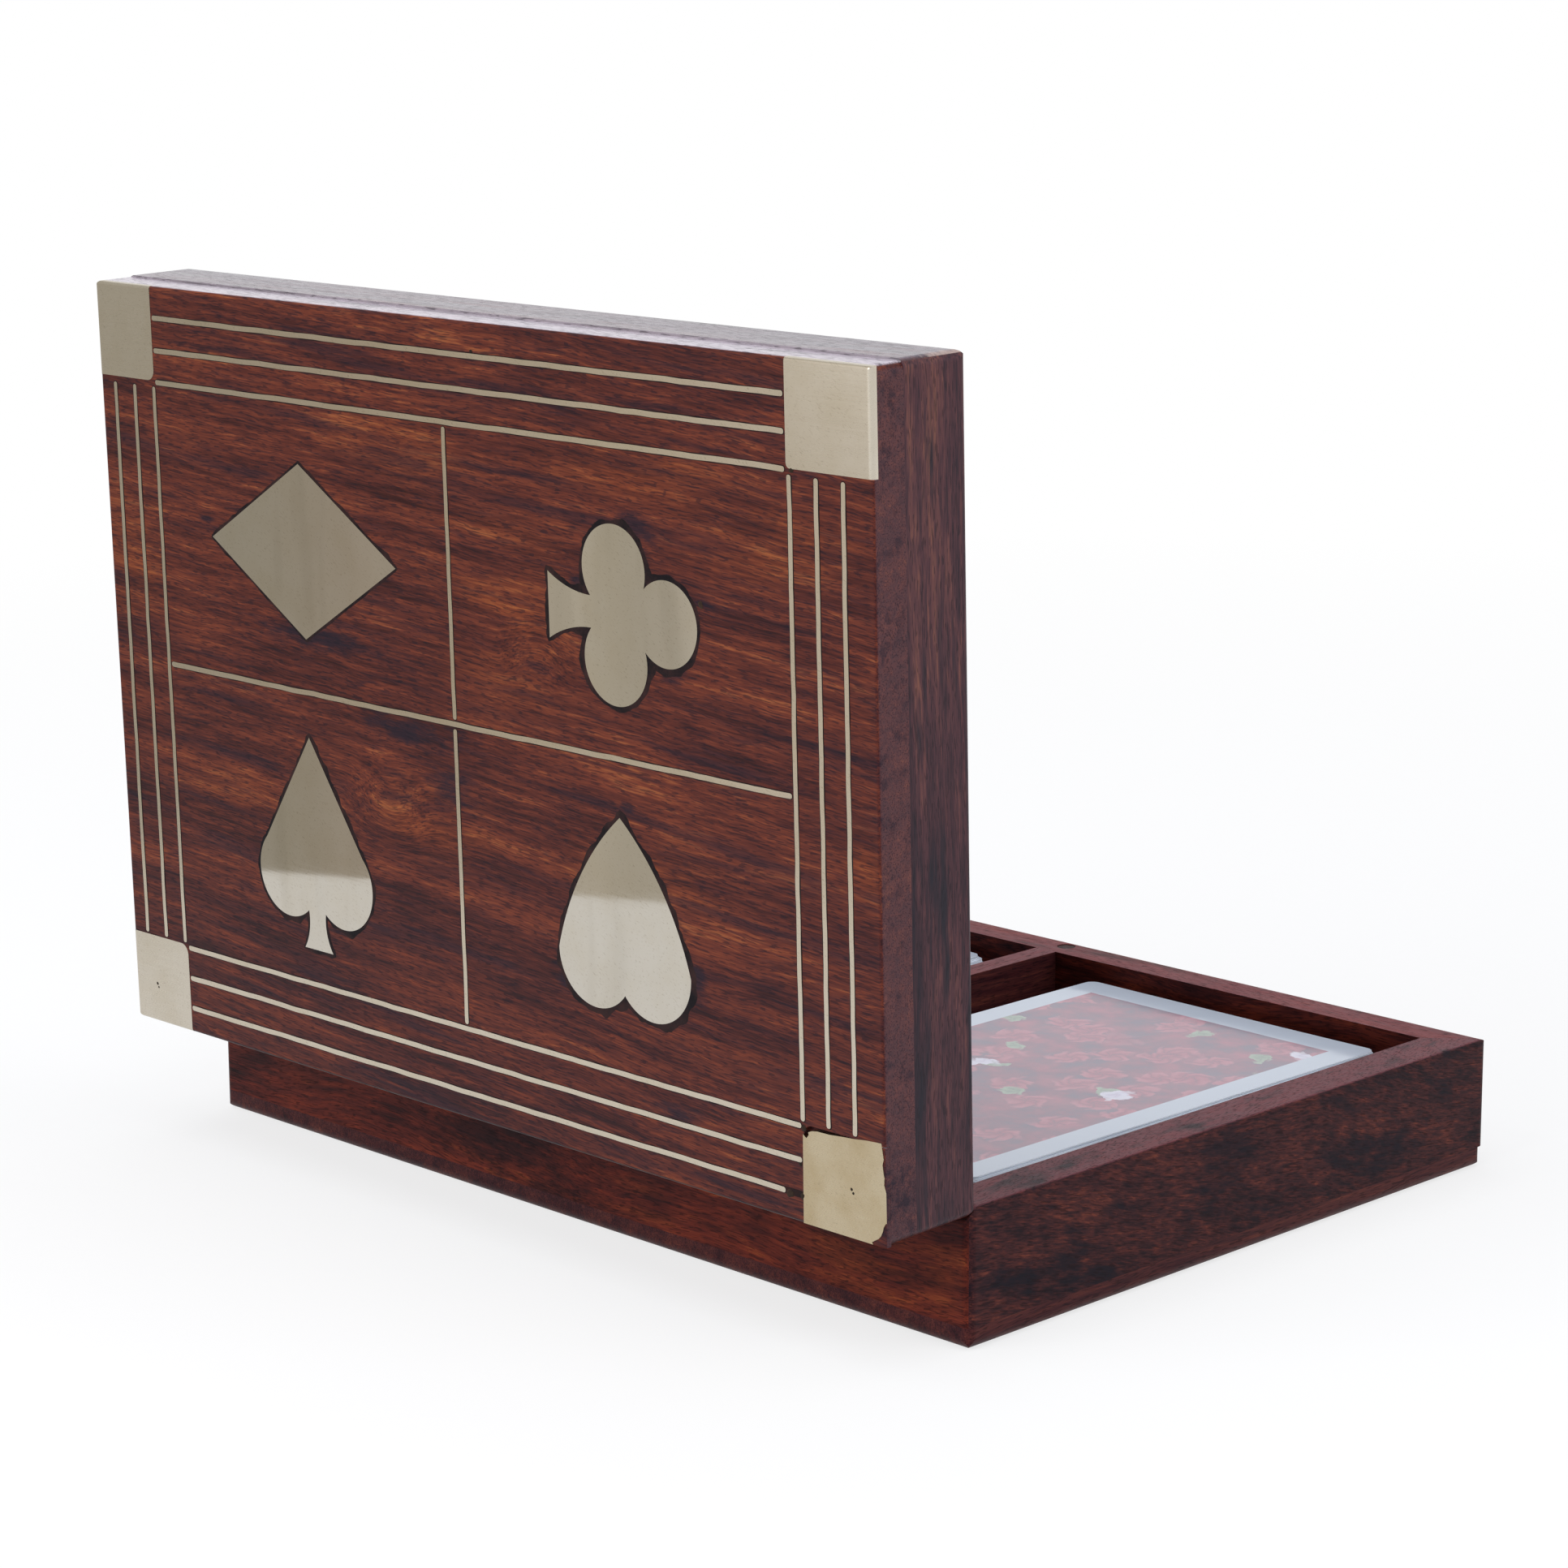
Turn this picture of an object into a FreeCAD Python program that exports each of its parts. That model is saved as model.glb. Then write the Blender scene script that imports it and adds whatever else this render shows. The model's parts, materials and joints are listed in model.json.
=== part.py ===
import FreeCAD, Part
import os
import re
import Sketcher
from FreeCAD import Vector

# A hinged playing card box in rosewood with brass inlay. A shallow base with two card wells
# carries a mitred lid on two butt hinges, and two packs of cards stand in the wells.
# The frame: X runs along the box, +Y is the hinge side, +Z is up, and the origin is the middle
# of the base's underside. Lid pieces are drawn closed, and their Placement swings them open.

SIZES = {
    # Box and base
    "box_length": 160.0,
    "box_depth": 114.3,
    "base_height": 19.7,
    "bottom_thickness": 3.1,
    "bottom_front_inset": 0.7,
    "bottom_edge_radius": 1.6,
    "side_wall": 6.7,
    "end_wall": 7.4,
    "corner_radius": 1.35,
    "divider_thickness": 4.1,
    "divider_shift": 2.4,
    # Rim edges of both halves
    "front_rim_radius": 1.2,
    "end_rim_radius": 0.7,
    "back_rim_radius": 2.4,
    "rim_gap": 0.3,
    # Lid
    "lid_frame_height": 11.25,
    "lid_panel_thickness": 5.6,
    "lid_panel_overhang": 0.7,
    "lid_panel_inset": 0.3,
    "lid_edge_radius": 0.5,
    "open_angle": 91.4,
    # Hinges
    "hinge_inset": 1.35,
    "hinge_end_inset": 33.2,
    "hinge_length": 22.5,
    "middle_knuckle": 8.1,
    "knuckle_gap": 0.3,
    "barrel_radius": 1.35,
    "barrel_relief": 0.3,
    "leaf_width": 4.5,
    "leaf_thickness": 0.9,
    "pin_radius": 0.65,
    "pin_play": 0.05,
    "screw_spread": 7.2,
    "screw_offset": 3.1,
    "screw_head_radius": 1.2,
    "screw_shank_radius": 0.7,
    "screw_length": 5.9,
    "screw_slot_width": 0.4,
    "screw_slot_depth": 0.3,
    # Magnet catch
    "magnet_radius": 1.5,
    "magnet_thickness": 1.8,
    "magnet_inset": 2.9,
    "magnet_shift": 1.4,
    "magnet_sink": 0.1,
    # Brass inlay
    "inlay_thickness": 0.9,
    "inlay_proud": 0.06,
    "filler_width": 0.35,
    "plate_corner_radius": 1.6,
    "plate_front_right_length": 13.3,
    "plate_front_right_depth": 14.0,
    "plate_front_left_length": 15.3,
    "plate_front_left_depth": 14.1,
    "plate_back_right_length": 13.7,
    "plate_back_right_depth": 13.8,
    "plate_back_left_length": 14.8,
    "plate_back_left_depth": 13.7,
    "plate_pin_radius": 0.6,
    "plate_pin_length": 3.6,
    "line_width": 0.75,
    "line_pitch": 4.75,
    "line_front_inset": 4.7,
    "line_back_inset": 3.9,
    "line_right_inset": 3.6,
    "line_left_inset": 5.3,
    "line_end_gap": 0.3,
    "cross_shift": 1.8,
    "cross_rise": -0.3,
    # Suits, each placed from the two edges of the panel that are nearest to it
    "diamond_right_inset": 46.5,
    "diamond_front_inset": 35.9,
    "diamond_length": 41.8,
    "diamond_width": 25.5,
    "club_left_inset": 47.8,
    "club_front_inset": 37.0,
    "club_lobe_radius": 5.9,
    "club_lobe_spread": 6.4,
    "club_lobe_reach": 9.6,
    "club_neck_width": 4.4,
    "club_neck_reach": 5.0,
    "club_foot_width": 9.2,
    "club_foot_reach": 13.4,
    "spade_right_inset": 46.0,
    "spade_back_inset": 50.8,
    "spade_length": 21.1,
    "spade_lobe_radius": 6.7,
    "spade_lobe_spread": 6.3,
    "spade_neck_width": 3.9,
    "spade_foot_width": 6.5,
    "spade_foot_reach": 32.0,
    "heart_left_inset": 48.4,
    "heart_back_inset": 49.4,
    "heart_length": 20.1,
    "heart_lobe_radius": 7.4,
    "heart_lobe_spread": 5.7,
    # Card packs
    "card_width": 57.15,
    "card_length": 88.9,
    "card_corner": 1.6,
    "card_thickness": 0.3,
    "pack_thickness": 13.3,
    "pack_rest_gap": 0.3,
    "pack_front_share": 0.167,
    "left_pack_gap": 6.9,
    "right_pack_gap": 0.7,
    "left_pack_turn": -0.05,
}

# Levels and places that follow from the sizes
FRONT = "(-box_depth / 2)"
BACK = "(box_depth / 2)"
LEFT = "(-box_length / 2)"
RIGHT = "(box_length / 2)"
INNER_FRONT = f"({FRONT} + side_wall)"
INNER_BACK = f"({BACK} - side_wall)"
INNER_LEFT = f"({LEFT} + end_wall)"
INNER_RIGHT = f"({RIGHT} - end_wall)"
BASE_SEAM = "bottom_thickness"
BASE_RIM = "base_height"
LID_RIM = "(base_height + rim_gap)"
LID_SEAM = f"({LID_RIM} + lid_frame_height)"
LID_FACE = f"({LID_SEAM} + lid_panel_thickness)"
INLAY_TOP = f"({LID_FACE} + inlay_proud)"
INLAY_FLOOR = f"({INLAY_TOP} - inlay_thickness)"
PANEL_FRONT = f"({FRONT} + lid_panel_inset)"
PANEL_RIGHT = f"({RIGHT} + lid_panel_overhang)"
PIVOT_Y = f"({BACK} - hinge_inset)"
PIVOT_Z = "(base_height + rim_gap / 2)"
MAGNET_Y = f"({FRONT} + magnet_inset)"
HINGE_X = f"({RIGHT} - hinge_end_inset)"
CARD_SLACK = f"({INNER_BACK} - {INNER_FRONT} - card_length)"
SUIT_PLACES = {
    "diamond": (f"({PANEL_RIGHT} - diamond_right_inset)", f"({PANEL_FRONT} + diamond_front_inset)"),
    "club": (f"({LEFT} + club_left_inset)", f"({PANEL_FRONT} + club_front_inset)"),
    "spade": (f"({PANEL_RIGHT} - spade_right_inset)", f"({BACK} - spade_back_inset)"),
    "heart": (f"({LEFT} + heart_left_inset)", f"({BACK} - heart_back_inset)"),
}
ARC_INSET = "(1 - sqrt(2) / 2)"

doc = FreeCAD.newDocument("CardBox")
sheet = doc.addObject("Spreadsheet::Sheet", "Sizes")
SIZE_NAME = re.compile(r"\b(" + "|".join(SIZES) + r")\b")
pieces = []


def fill_sheet():
    for row, (name, size) in enumerate(SIZES.items(), start=1):
        sheet.set(f"A{row}", name)
        sheet.set(f"B{row}", str(size))
        sheet.setAlias(f"B{row}", name)
    doc.recompute()


def linked(formula):
    """Turns each size named in a formula into a link to its cell."""
    return SIZE_NAME.sub(r"Sizes.\1", str(formula))


def bind(item, prop, formula):
    item.setExpression(prop, linked(formula))


def worth(formula):
    """What a formula comes to with the sheet's present sizes."""
    return float(sheet.evalExpression(linked(formula)))


def keep(item, label):
    """Makes a piece of the box out of a finished object."""
    item.Label = label
    pieces.append(item)
    return item


def swing(item, along="0"):
    """Opens a piece of the lid about the hinge pins, after a shift along the box."""
    turn = "rotation(vector(1; 0; 0); -open_angle)"
    pivot = f"vector(0; {PIVOT_Y}; {PIVOT_Z})"
    bind(item, "Placement", f"placement(vector({along}; 0; 0); {turn}; {pivot})")
    return item


# --- Outlines: a list of corners, with a "via" point where an arc joins two corners ----------------


def corner(across, up):
    return (across, up, False)


def via(across, up):
    return (across, up, True)


def rounded_rectangle(x_low, x_high, y_low, y_high, radius):
    """A rectangle with four corner arcs of one radius."""
    inset = f"{radius} * {ARC_INSET}"
    points = []
    turns = [(x_high, "-", y_low, "+"), (x_high, "-", y_high, "-"),
             (x_low, "+", y_high, "-"), (x_low, "+", y_low, "+")]
    for x, x_in, y, y_in in turns:
        on_x_side = corner(x, f"{y} {y_in} {radius}")
        on_y_side = corner(f"{x} {x_in} {radius}", y)
        first, last = (on_y_side, on_x_side) if x_in != y_in else (on_x_side, on_y_side)
        points += [first, via(f"{x} {x_in} {inset}", f"{y} {y_in} {inset}"), last]
    return points


def strip_outline(x_low, x_high, y_low, y_high, along_x):
    """A narrow strip whose two ends are half rounds."""
    if along_x:
        middle, radius = f"({y_low} + {y_high}) / 2", f"({y_high} - {y_low}) / 2"
        return [corner(f"{x_low} + {radius}", y_low), corner(f"{x_high} - {radius}", y_low),
                via(x_high, middle),
                corner(f"{x_high} - {radius}", y_high), corner(f"{x_low} + {radius}", y_high),
                via(x_low, middle)]
    middle, radius = f"({x_low} + {x_high}) / 2", f"({x_high} - {x_low}) / 2"
    return [corner(x_high, f"{y_low} + {radius}"), corner(x_high, f"{y_high} - {radius}"),
            via(middle, y_high),
            corner(x_low, f"{y_high} - {radius}"), corner(x_low, f"{y_low} + {radius}"),
            via(middle, y_low)]


def fix_point(sketch, curve, end, point):
    """Ties a point of the sketch to its two formulas."""
    for kind, formula in (("DistanceX", point[0]), ("DistanceY", point[1])):
        index = sketch.addConstraint(Sketcher.Constraint(kind, curve, end, worth(formula)))
        bind(sketch, f"Constraints[{index}]", formula)


def add_arc(sketch, start, middle, end):
    """Adds the arc through three points, and returns its index with its start and end marks."""
    circle = Part.Arc(start, middle, end).toShape().Curve
    full = Part.Circle(circle.Center, Vector(0, 0, 1), circle.Radius)
    turns_left = (middle - start).cross(end - middle).z > 0
    low, high = (start, end) if turns_left else (end, start)
    curve = Part.ArcOfCircle(full, full.parameter(low), full.parameter(high))
    return sketch.addGeometry(curve), (1, 2) if turns_left else (2, 1)


def draw(sketch, outline):
    """Draws a closed outline with every corner and via point tied to the sheet."""
    corners = [index for index, point in enumerate(outline) if not point[2]]
    places = [Vector(worth(point[0]), worth(point[1]), 0) for point in outline]
    edges = []
    for count, index in enumerate(corners):
        after = corners[(count + 1) % len(corners)]
        between = (index + 1) % len(outline)
        if outline[between][2]:
            edges.append(add_arc(sketch, places[index], places[between], places[after]))
            mark = sketch.addGeometry(Part.Point(places[between]), True)
            fix_point(sketch, mark, 1, outline[between])
            sketch.addConstraint(Sketcher.Constraint("PointOnObject", mark, 1, edges[-1][0]))
        else:
            line = Part.LineSegment(places[index], places[after])
            edges.append((sketch.addGeometry(line), (1, 2)))
        fix_point(sketch, edges[-1][0], edges[-1][1][0], outline[index])
    for (curve, ends), (following, next_ends) in zip(edges, edges[1:] + edges[:1]):
        sketch.addConstraint(Sketcher.Constraint("Coincident", curve, ends[1], following, next_ends[0]))


# --- Solids ----------------------------------------------------------------------------------------


def body_sketch(name, plane, outline, start="0"):
    """A body with one sketch, on one of its own origin planes moved by start along its normal."""
    body = doc.addObject("PartDesign::Body", name)
    sketch = body.newObject("Sketcher::SketchObject", f"{name}_sketch")
    planes = [item for item in body.Origin.OriginFeatures if item.Role == plane]
    sketch.AttachmentSupport = [(planes[0], "")]
    sketch.MapMode = "FlatFace"
    bind(sketch, ".AttachmentOffset.Base.z", start)
    draw(sketch, outline)
    return body, sketch


def prism(name, plane, outline, start, length):
    body, sketch = body_sketch(name, plane, outline, start)
    pad = body.newObject("PartDesign::Pad", f"{name}_pad")
    pad.Profile = sketch
    bind(pad, "Length", length)
    return body


def turned(name, outline):
    """A turned body: its outline is in the XZ plane and turns about Z."""
    body, sketch = body_sketch(name, "XZ_Plane", outline)
    revolution = body.newObject("PartDesign::Revolution", f"{name}_turn")
    revolution.Profile = sketch
    revolution.ReferenceAxis = (sketch, ["V_Axis"])
    revolution.Angle = 360
    return body


def place(item, x, y, z):
    for axis, formula in (("x", x), ("y", y), ("z", z)):
        bind(item, f"Placement.Base.{axis}", formula)
    return item


def block(name, x, y, z):
    """A box between two formulas on each axis."""
    item = doc.addObject("Part::Box", name)
    for prop, (low, high) in (("Length", x), ("Width", y), ("Height", z)):
        bind(item, prop, f"{high} - ({low})")
    return place(item, x[0], y[0], z[0])


def rod(name, radius, x_low, x_high):
    """A cylinder on the hinge axis."""
    item = doc.addObject("Part::Cylinder", name)
    bind(item, "Radius", radius)
    bind(item, "Height", f"{x_high} - ({x_low})")
    turn = "rotation(vector(0; 1; 0); 90)"
    bind(item, "Placement", f"placement(vector({x_low}; {PIVOT_Y}; {PIVOT_Z}); {turn})")
    return item


def post(name, radius, x, y, z_low, z_high):
    """An upright cylinder."""
    item = doc.addObject("Part::Cylinder", name)
    bind(item, "Radius", radius)
    bind(item, "Height", f"{z_high} - ({z_low})")
    return place(item, x, y, z_low)


def fused(name, items):
    if len(items) == 1:
        return items[0]
    whole = doc.addObject("Part::MultiFuse", name)
    whole.Shapes = items
    return whole


def cut(name, base, tools):
    result = doc.addObject("Part::Cut", name)
    result.Base = base
    result.Tool = fused(f"{name}_tools", tools)
    return result


def common(name, items):
    result = doc.addObject("Part::MultiCommon", name)
    result.Shapes = items
    return result


# --- Mitred frames of the base and the lid ---------------------------------------------------------


def eased_form(name, x, y, rim, seam, inward, radii):
    """A block that is rounded in plan, with its four edges at the rim level eased. Inward is the
    sign of Z that leads from the rim into the block, and the radii are for its front, back and ends."""
    def section(low, high, low_radius, high_radius):
        low_inset = f"{low_radius} * {ARC_INSET}"
        high_inset = f"{high_radius} * {ARC_INSET}"
        return [corner(high, seam), corner(high, f"{rim} {inward} {high_radius}"),
                via(f"{high} - {high_inset}", f"{rim} {inward} {high_inset}"),
                corner(f"{high} - {high_radius}", rim), corner(f"{low} + {low_radius}", rim),
                via(f"{low} + {low_inset}", f"{rim} {inward} {low_inset}"),
                corner(low, f"{rim} {inward} {low_radius}"), corner(low, seam)]
    front, back, ends = radii
    bottom, top = (seam, rim) if inward == "-" else (rim, seam)
    plan = rounded_rectangle(*x, *y, "corner_radius")
    return common(f"{name}_form", [
        prism(f"{name}_plan", "XY_Plane", plan, bottom, f"{top} - {bottom}"),
        prism(f"{name}_depth_section", "YZ_Plane", section(*y, front, back), x[0], f"{x[1]} - {x[0]}"),
        prism(f"{name}_length_section", "XZ_Plane", section(*x, ends, ends),
              f"-{y[1]}", f"{y[1]} - {y[0]}")])


def frame_walls(name, rim, seam, inward, tools):
    """Four mitred walls cut out of one frame form. Tools names what is cut out of each wall."""
    radii = ("front_rim_radius", "back_rim_radius", "end_rim_radius")
    form = eased_form(name, (LEFT, RIGHT), (FRONT, BACK), rim, seam, inward, radii)
    bottom, top = (seam, rim) if inward == "-" else (rim, seam)
    outer = {"fl": (LEFT, FRONT), "fr": (RIGHT, FRONT), "br": (RIGHT, BACK), "bl": (LEFT, BACK)}
    inner = {"fl": (INNER_LEFT, INNER_FRONT), "fr": (INNER_RIGHT, INNER_FRONT),
             "br": (INNER_RIGHT, INNER_BACK), "bl": (INNER_LEFT, INNER_BACK)}
    walls = []
    for side, start, end in (("front", "fl", "fr"), ("right", "fr", "br"),
                             ("back", "br", "bl"), ("left", "bl", "fl")):
        label = f"{name}_{side}_wall"
        mitred = [corner(*outer[start]), corner(*outer[end]), corner(*inner[end]), corner(*inner[start])]
        blank = prism(f"{label}_mitres", "XY_Plane", mitred, bottom, f"{top} - {bottom}")
        wall = common(f"{label}_blank", [form, blank])
        if side in tools:
            wall = cut(f"{label}_cut", wall, tools[side])
        walls.append(keep(wall, label))
    return walls


# --- Hinges ----------------------------------------------------------------------------------------


def screw_form(name, x, level, upward):
    """A countersunk wood screw, its head level with the rim."""
    neck = "(screw_head_radius - screw_shank_radius)"
    outline = [corner("0", "0"), corner("screw_head_radius", "0"),
               corner("screw_shank_radius", f"-{neck}"),
               corner("screw_shank_radius", "screw_shank_radius - screw_length"),
               corner("0", "-screw_length")]
    screw = turned(name, outline)
    turn = f"rotation(vector(1; 0; 0); {180 if upward else 0})"
    bind(screw, "Placement", f"placement(vector({x}; {PIVOT_Y} - screw_offset; {level}); {turn})")
    return screw


def slotted_screw(name, x, level, upward):
    slot_x = (f"{x} - screw_slot_width / 2", f"{x} + screw_slot_width / 2")
    screw_y = f"({PIVOT_Y} - screw_offset)"
    slot_y = (f"{screw_y} - screw_head_radius", f"{screw_y} + screw_head_radius")
    slot_z = (level, f"{level} + screw_slot_depth") if upward else (f"{level} - screw_slot_depth", level)
    slot = block(f"{name}_slot", slot_x, slot_y, slot_z)
    return cut(name, screw_form(f"{name}_form", x, level, upward), [slot])


def hinge_places():
    return (("left", f"-{HINGE_X}"), ("right", HINGE_X))


def screw_places():
    """The places of the screws along the box, two to a leaf."""
    return [(f"{side}_{hand}", f"({centre} {sign} screw_spread)")
            for side, centre in hinge_places() for hand, sign in (("near", "-"), ("far", "+"))]


def leaf_heights(upward):
    """The faces of a leaf: the base's lies below its rim, the lid's above its own."""
    if upward:
        return (LID_RIM, f"{LID_RIM} + leaf_thickness")
    return (f"{BASE_RIM} - leaf_thickness", BASE_RIM)


def leaf(name, upward):
    """One leaf of a hinge, drawn at the middle of the box."""
    end = "(hinge_length / 2)"
    outer_start = "(middle_knuckle / 2 + knuckle_gap)"
    outer = [(f"-{end}", f"-{outer_start}"), (outer_start, end)]
    middle = [("-middle_knuckle / 2", "middle_knuckle / 2")]
    own, other = (middle, outer) if upward else (outer, middle)
    reach = "(barrel_radius + barrel_relief)"
    heights = leaf_heights(upward)
    plate = block(f"{name}_plate", (f"-{end}", end), (f"{PIVOT_Y} - leaf_width", PIVOT_Y), heights)
    notches = [block(f"{name}_notch_{number}", (f"{low} - knuckle_gap", f"{high} + knuckle_gap"),
                     (f"{PIVOT_Y} - {reach}", PIVOT_Y), heights)
               for number, (low, high) in enumerate(other, start=1)]
    knuckles = [rod(f"{name}_knuckle_{number}", "barrel_radius", low, high)
                for number, (low, high) in enumerate(own, start=1)]
    notched = cut(f"{name}_notched", plate, notches)
    bore = rod(f"{name}_bore", "pin_radius + pin_play", f"-{end}", end)
    level = LID_RIM if upward else BASE_RIM
    screws = [screw_form(f"{name}_{hand}_hole", f"({sign}screw_spread)", level, upward)
              for hand, sign in (("near", "-"), ("far", "+"))]
    return cut(name, fused(f"{name}_whole", [notched] + knuckles), [bore] + screws)


def hinge_seat(name, upward):
    """What both hinges' leaves, barrels and screws take out of a back wall."""
    tools = []
    for side, centre in hinge_places():
        span = (f"{centre} - hinge_length / 2", f"{centre} + hinge_length / 2")
        tools.append(block(f"{name}_{side}_mortise", span, (f"{PIVOT_Y} - leaf_width", BACK),
                           leaf_heights(upward)))
        tools.append(rod(f"{name}_{side}_relief", "barrel_radius + barrel_relief",
                         f"{span[0]} - knuckle_gap", f"{span[1]} + knuckle_gap"))
    level = LID_RIM if upward else BASE_RIM
    for place_name, x in screw_places():
        tools.append(screw_form(f"{name}_{place_name}_pilot", x, level, upward))
    return tools


def make_hinges():
    for side, centre in hinge_places():
        base_leaf = keep(leaf(f"hinge_{side}_base_leaf", False), f"hinge_{side}_base_leaf")
        place(base_leaf, centre, "0", "0")
        lid_leaf = keep(leaf(f"hinge_{side}_lid_leaf", True), f"hinge_{side}_lid_leaf")
        swing(lid_leaf, centre)
        span = (f"{centre} - hinge_length / 2", f"{centre} + hinge_length / 2")
        keep(rod(f"hinge_{side}_pin", "pin_radius", *span), f"hinge_{side}_pin")
    for half, level, upward in (("base", BASE_RIM, False), ("lid", LID_RIM, True)):
        group = doc.addObject("Part::Compound", f"hinge_{half}_screws")
        group.Links = [slotted_screw(f"{half}_screw_{place_name}", x, level, upward)
                       for place_name, x in screw_places()]
        keep(group, f"hinge_{half}_screws")
        if upward:
            swing(group)


# --- Base ------------------------------------------------------------------------------------------


def magnet(name, z_low, z_high):
    """A round magnet, or its seat, in the middle of a front rim."""
    left, right = "magnet_shift - magnet_radius", "magnet_shift + magnet_radius"
    outline = [corner(left, MAGNET_Y), via("magnet_shift", f"{MAGNET_Y} - magnet_radius"),
               corner(right, MAGNET_Y), via("magnet_shift", f"{MAGNET_Y} + magnet_radius")]
    return prism(name, "XY_Plane", outline, z_low, f"{z_high} - ({z_low})")


def make_base():
    radii = ("bottom_edge_radius",) * 3
    bottom_y = (f"({FRONT} + bottom_front_inset)", BACK)
    keep(eased_form("bottom", (LEFT, RIGHT), bottom_y, "0", BASE_SEAM, "+", radii), "base_bottom_panel")
    magnet_floor = f"{BASE_RIM} - magnet_sink - magnet_thickness"
    keep(magnet("base_magnet", magnet_floor, f"{BASE_RIM} - magnet_sink"), "base_magnet")
    tools = {"front": [magnet("base_magnet_seat", magnet_floor, BASE_RIM)],
             "back": hinge_seat("base_seat", False)}
    frame_walls("base", BASE_RIM, BASE_SEAM, "-", tools)
    divider_x = ("divider_shift - divider_thickness / 2", "divider_shift + divider_thickness / 2")
    divider = block("compartment_divider", divider_x, (INNER_FRONT, INNER_BACK), (BASE_SEAM, BASE_RIM))
    keep(divider, "compartment_divider")


# --- Lid and its brass -----------------------------------------------------------------------------


def panel_block(name, top):
    """The lid's panel without its recesses, up to a given level, with its upper edges eased."""
    radii = ("lid_edge_radius",) * 3
    return eased_form(name, (LEFT, PANEL_RIGHT), (PANEL_FRONT, BACK), top, LID_SEAM, "-", radii)


def plate_form(side, hand):
    """The seat of a corner plate: it runs past the panel's edges, with a rounded inner corner."""
    size = f"plate_{side}_{hand}"
    inset = f"plate_corner_radius * {ARC_INSET}"
    x_edge, x_in = (LEFT, "+") if hand == "left" else (PANEL_RIGHT, "-")
    y_edge, y_in = (PANEL_FRONT, "+") if side == "front" else (BACK, "-")
    x_out, y_out = ("-" if x_in == "+" else "+"), ("-" if y_in == "+" else "+")
    x_far, y_far = f"{x_edge} {x_out} corner_radius", f"{y_edge} {y_out} corner_radius"
    x_inner, y_inner = f"({x_edge} {x_in} {size}_length)", f"({y_edge} {y_in} {size}_depth)"
    outline = [corner(x_far, y_far), corner(x_inner, y_far),
               corner(x_inner, f"{y_inner} {y_out} plate_corner_radius"),
               via(f"{x_inner} {x_out} {inset}", f"{y_inner} {y_out} {inset}"),
               corner(f"{x_inner} {x_out} plate_corner_radius", y_inner), corner(x_far, y_inner)]
    return prism(f"{size}_form", "XY_Plane", outline, INLAY_FLOOR, f"{INLAY_TOP} - {INLAY_FLOOR}")


def plate_pin(side, hand):
    """A brass pin through the middle of a corner plate into the panel."""
    size = f"plate_{side}_{hand}"
    x = f"{LEFT} + {size}_length / 2" if hand == "left" else f"{PANEL_RIGHT} - {size}_length / 2"
    y = f"{PANEL_FRONT} + {size}_depth / 2" if side == "front" else f"{BACK} - {size}_depth / 2"
    return post(f"{size}_pin", "plate_pin_radius", x, y, f"{INLAY_TOP} - plate_pin_length", INLAY_TOP)


def line_places(inset, edge, into):
    """The middles of three border lines, from the outermost in."""
    return [(name, f"({edge} {into} {inset} {into} {count} * line_pitch)")
            for count, name in enumerate(("outer", "middle", "inner"))]


def strip(name, x, y, along_x):
    """A brass strip, and the recess that is cut for it."""
    outline = strip_outline(*x, *y, along_x)
    swing(keep(prism(name, "XY_Plane", outline, INLAY_FLOOR, "inlay_thickness"), name))
    return prism(f"{name}_recess", "XY_Plane", outline, INLAY_FLOOR, f"{LID_FACE} - {INLAY_FLOOR}")


def border_lines():
    """Twelve brass lines, three along each edge, that end at the corner plates."""
    recesses = []
    half = "line_width / 2"
    for side, edge, into in (("front", PANEL_FRONT, "+"), ("back", BACK, "-")):
        x = (f"({LEFT} + plate_{side}_left_length + line_end_gap)",
             f"({PANEL_RIGHT} - plate_{side}_right_length - line_end_gap)")
        for name, y in line_places(f"line_{side}_inset", edge, into):
            width = (f"({y} - {half})", f"({y} + {half})")
            recesses.append(strip(f"line_{side}_{name}", x, width, True))
    for hand, edge, into in (("left", LEFT, "+"), ("right", PANEL_RIGHT, "-")):
        y = (f"({PANEL_FRONT} + max(plate_front_{hand}_depth; {inner_line('front')}) + line_end_gap)",
             f"({BACK} - max(plate_back_{hand}_depth; {inner_line('back')}) - line_end_gap)")
        for name, x in line_places(f"line_{hand}_inset", edge, into):
            width = (f"({x} - {half})", f"({x} + {half})")
            recesses.append(strip(f"line_{hand}_{name}", width, y, False))
    return recesses


def inner_line(side):
    """How far the inner side of an edge's innermost border line is from that edge."""
    return f"(line_{side}_inset + 2 * line_pitch + line_width / 2)"


def cross_lines():
    """The cross that quarters the face: one long line, and two short ones that meet it."""
    half = "line_width / 2"
    middle_x, middle_y = "cross_shift", "cross_rise"
    x = (f"({LEFT} + {inner_line('left')} + line_end_gap)",
         f"({PANEL_RIGHT} - {inner_line('right')} - line_end_gap)")
    across_x = (f"({middle_x} - {half})", f"({middle_x} + {half})")
    front_y = (f"({PANEL_FRONT} + {inner_line('front')} + line_end_gap)",
               f"({middle_y} - {half} - line_end_gap)")
    back_y = (f"({middle_y} + {half} + line_end_gap)",
              f"({BACK} - {inner_line('back')} - line_end_gap)")
    return [strip("cross_long", x, (f"({middle_y} - {half})", f"({middle_y} + {half})"), True),
            strip("cross_front", across_x, front_y, False),
            strip("cross_back", across_x, back_y, False)]


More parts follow.
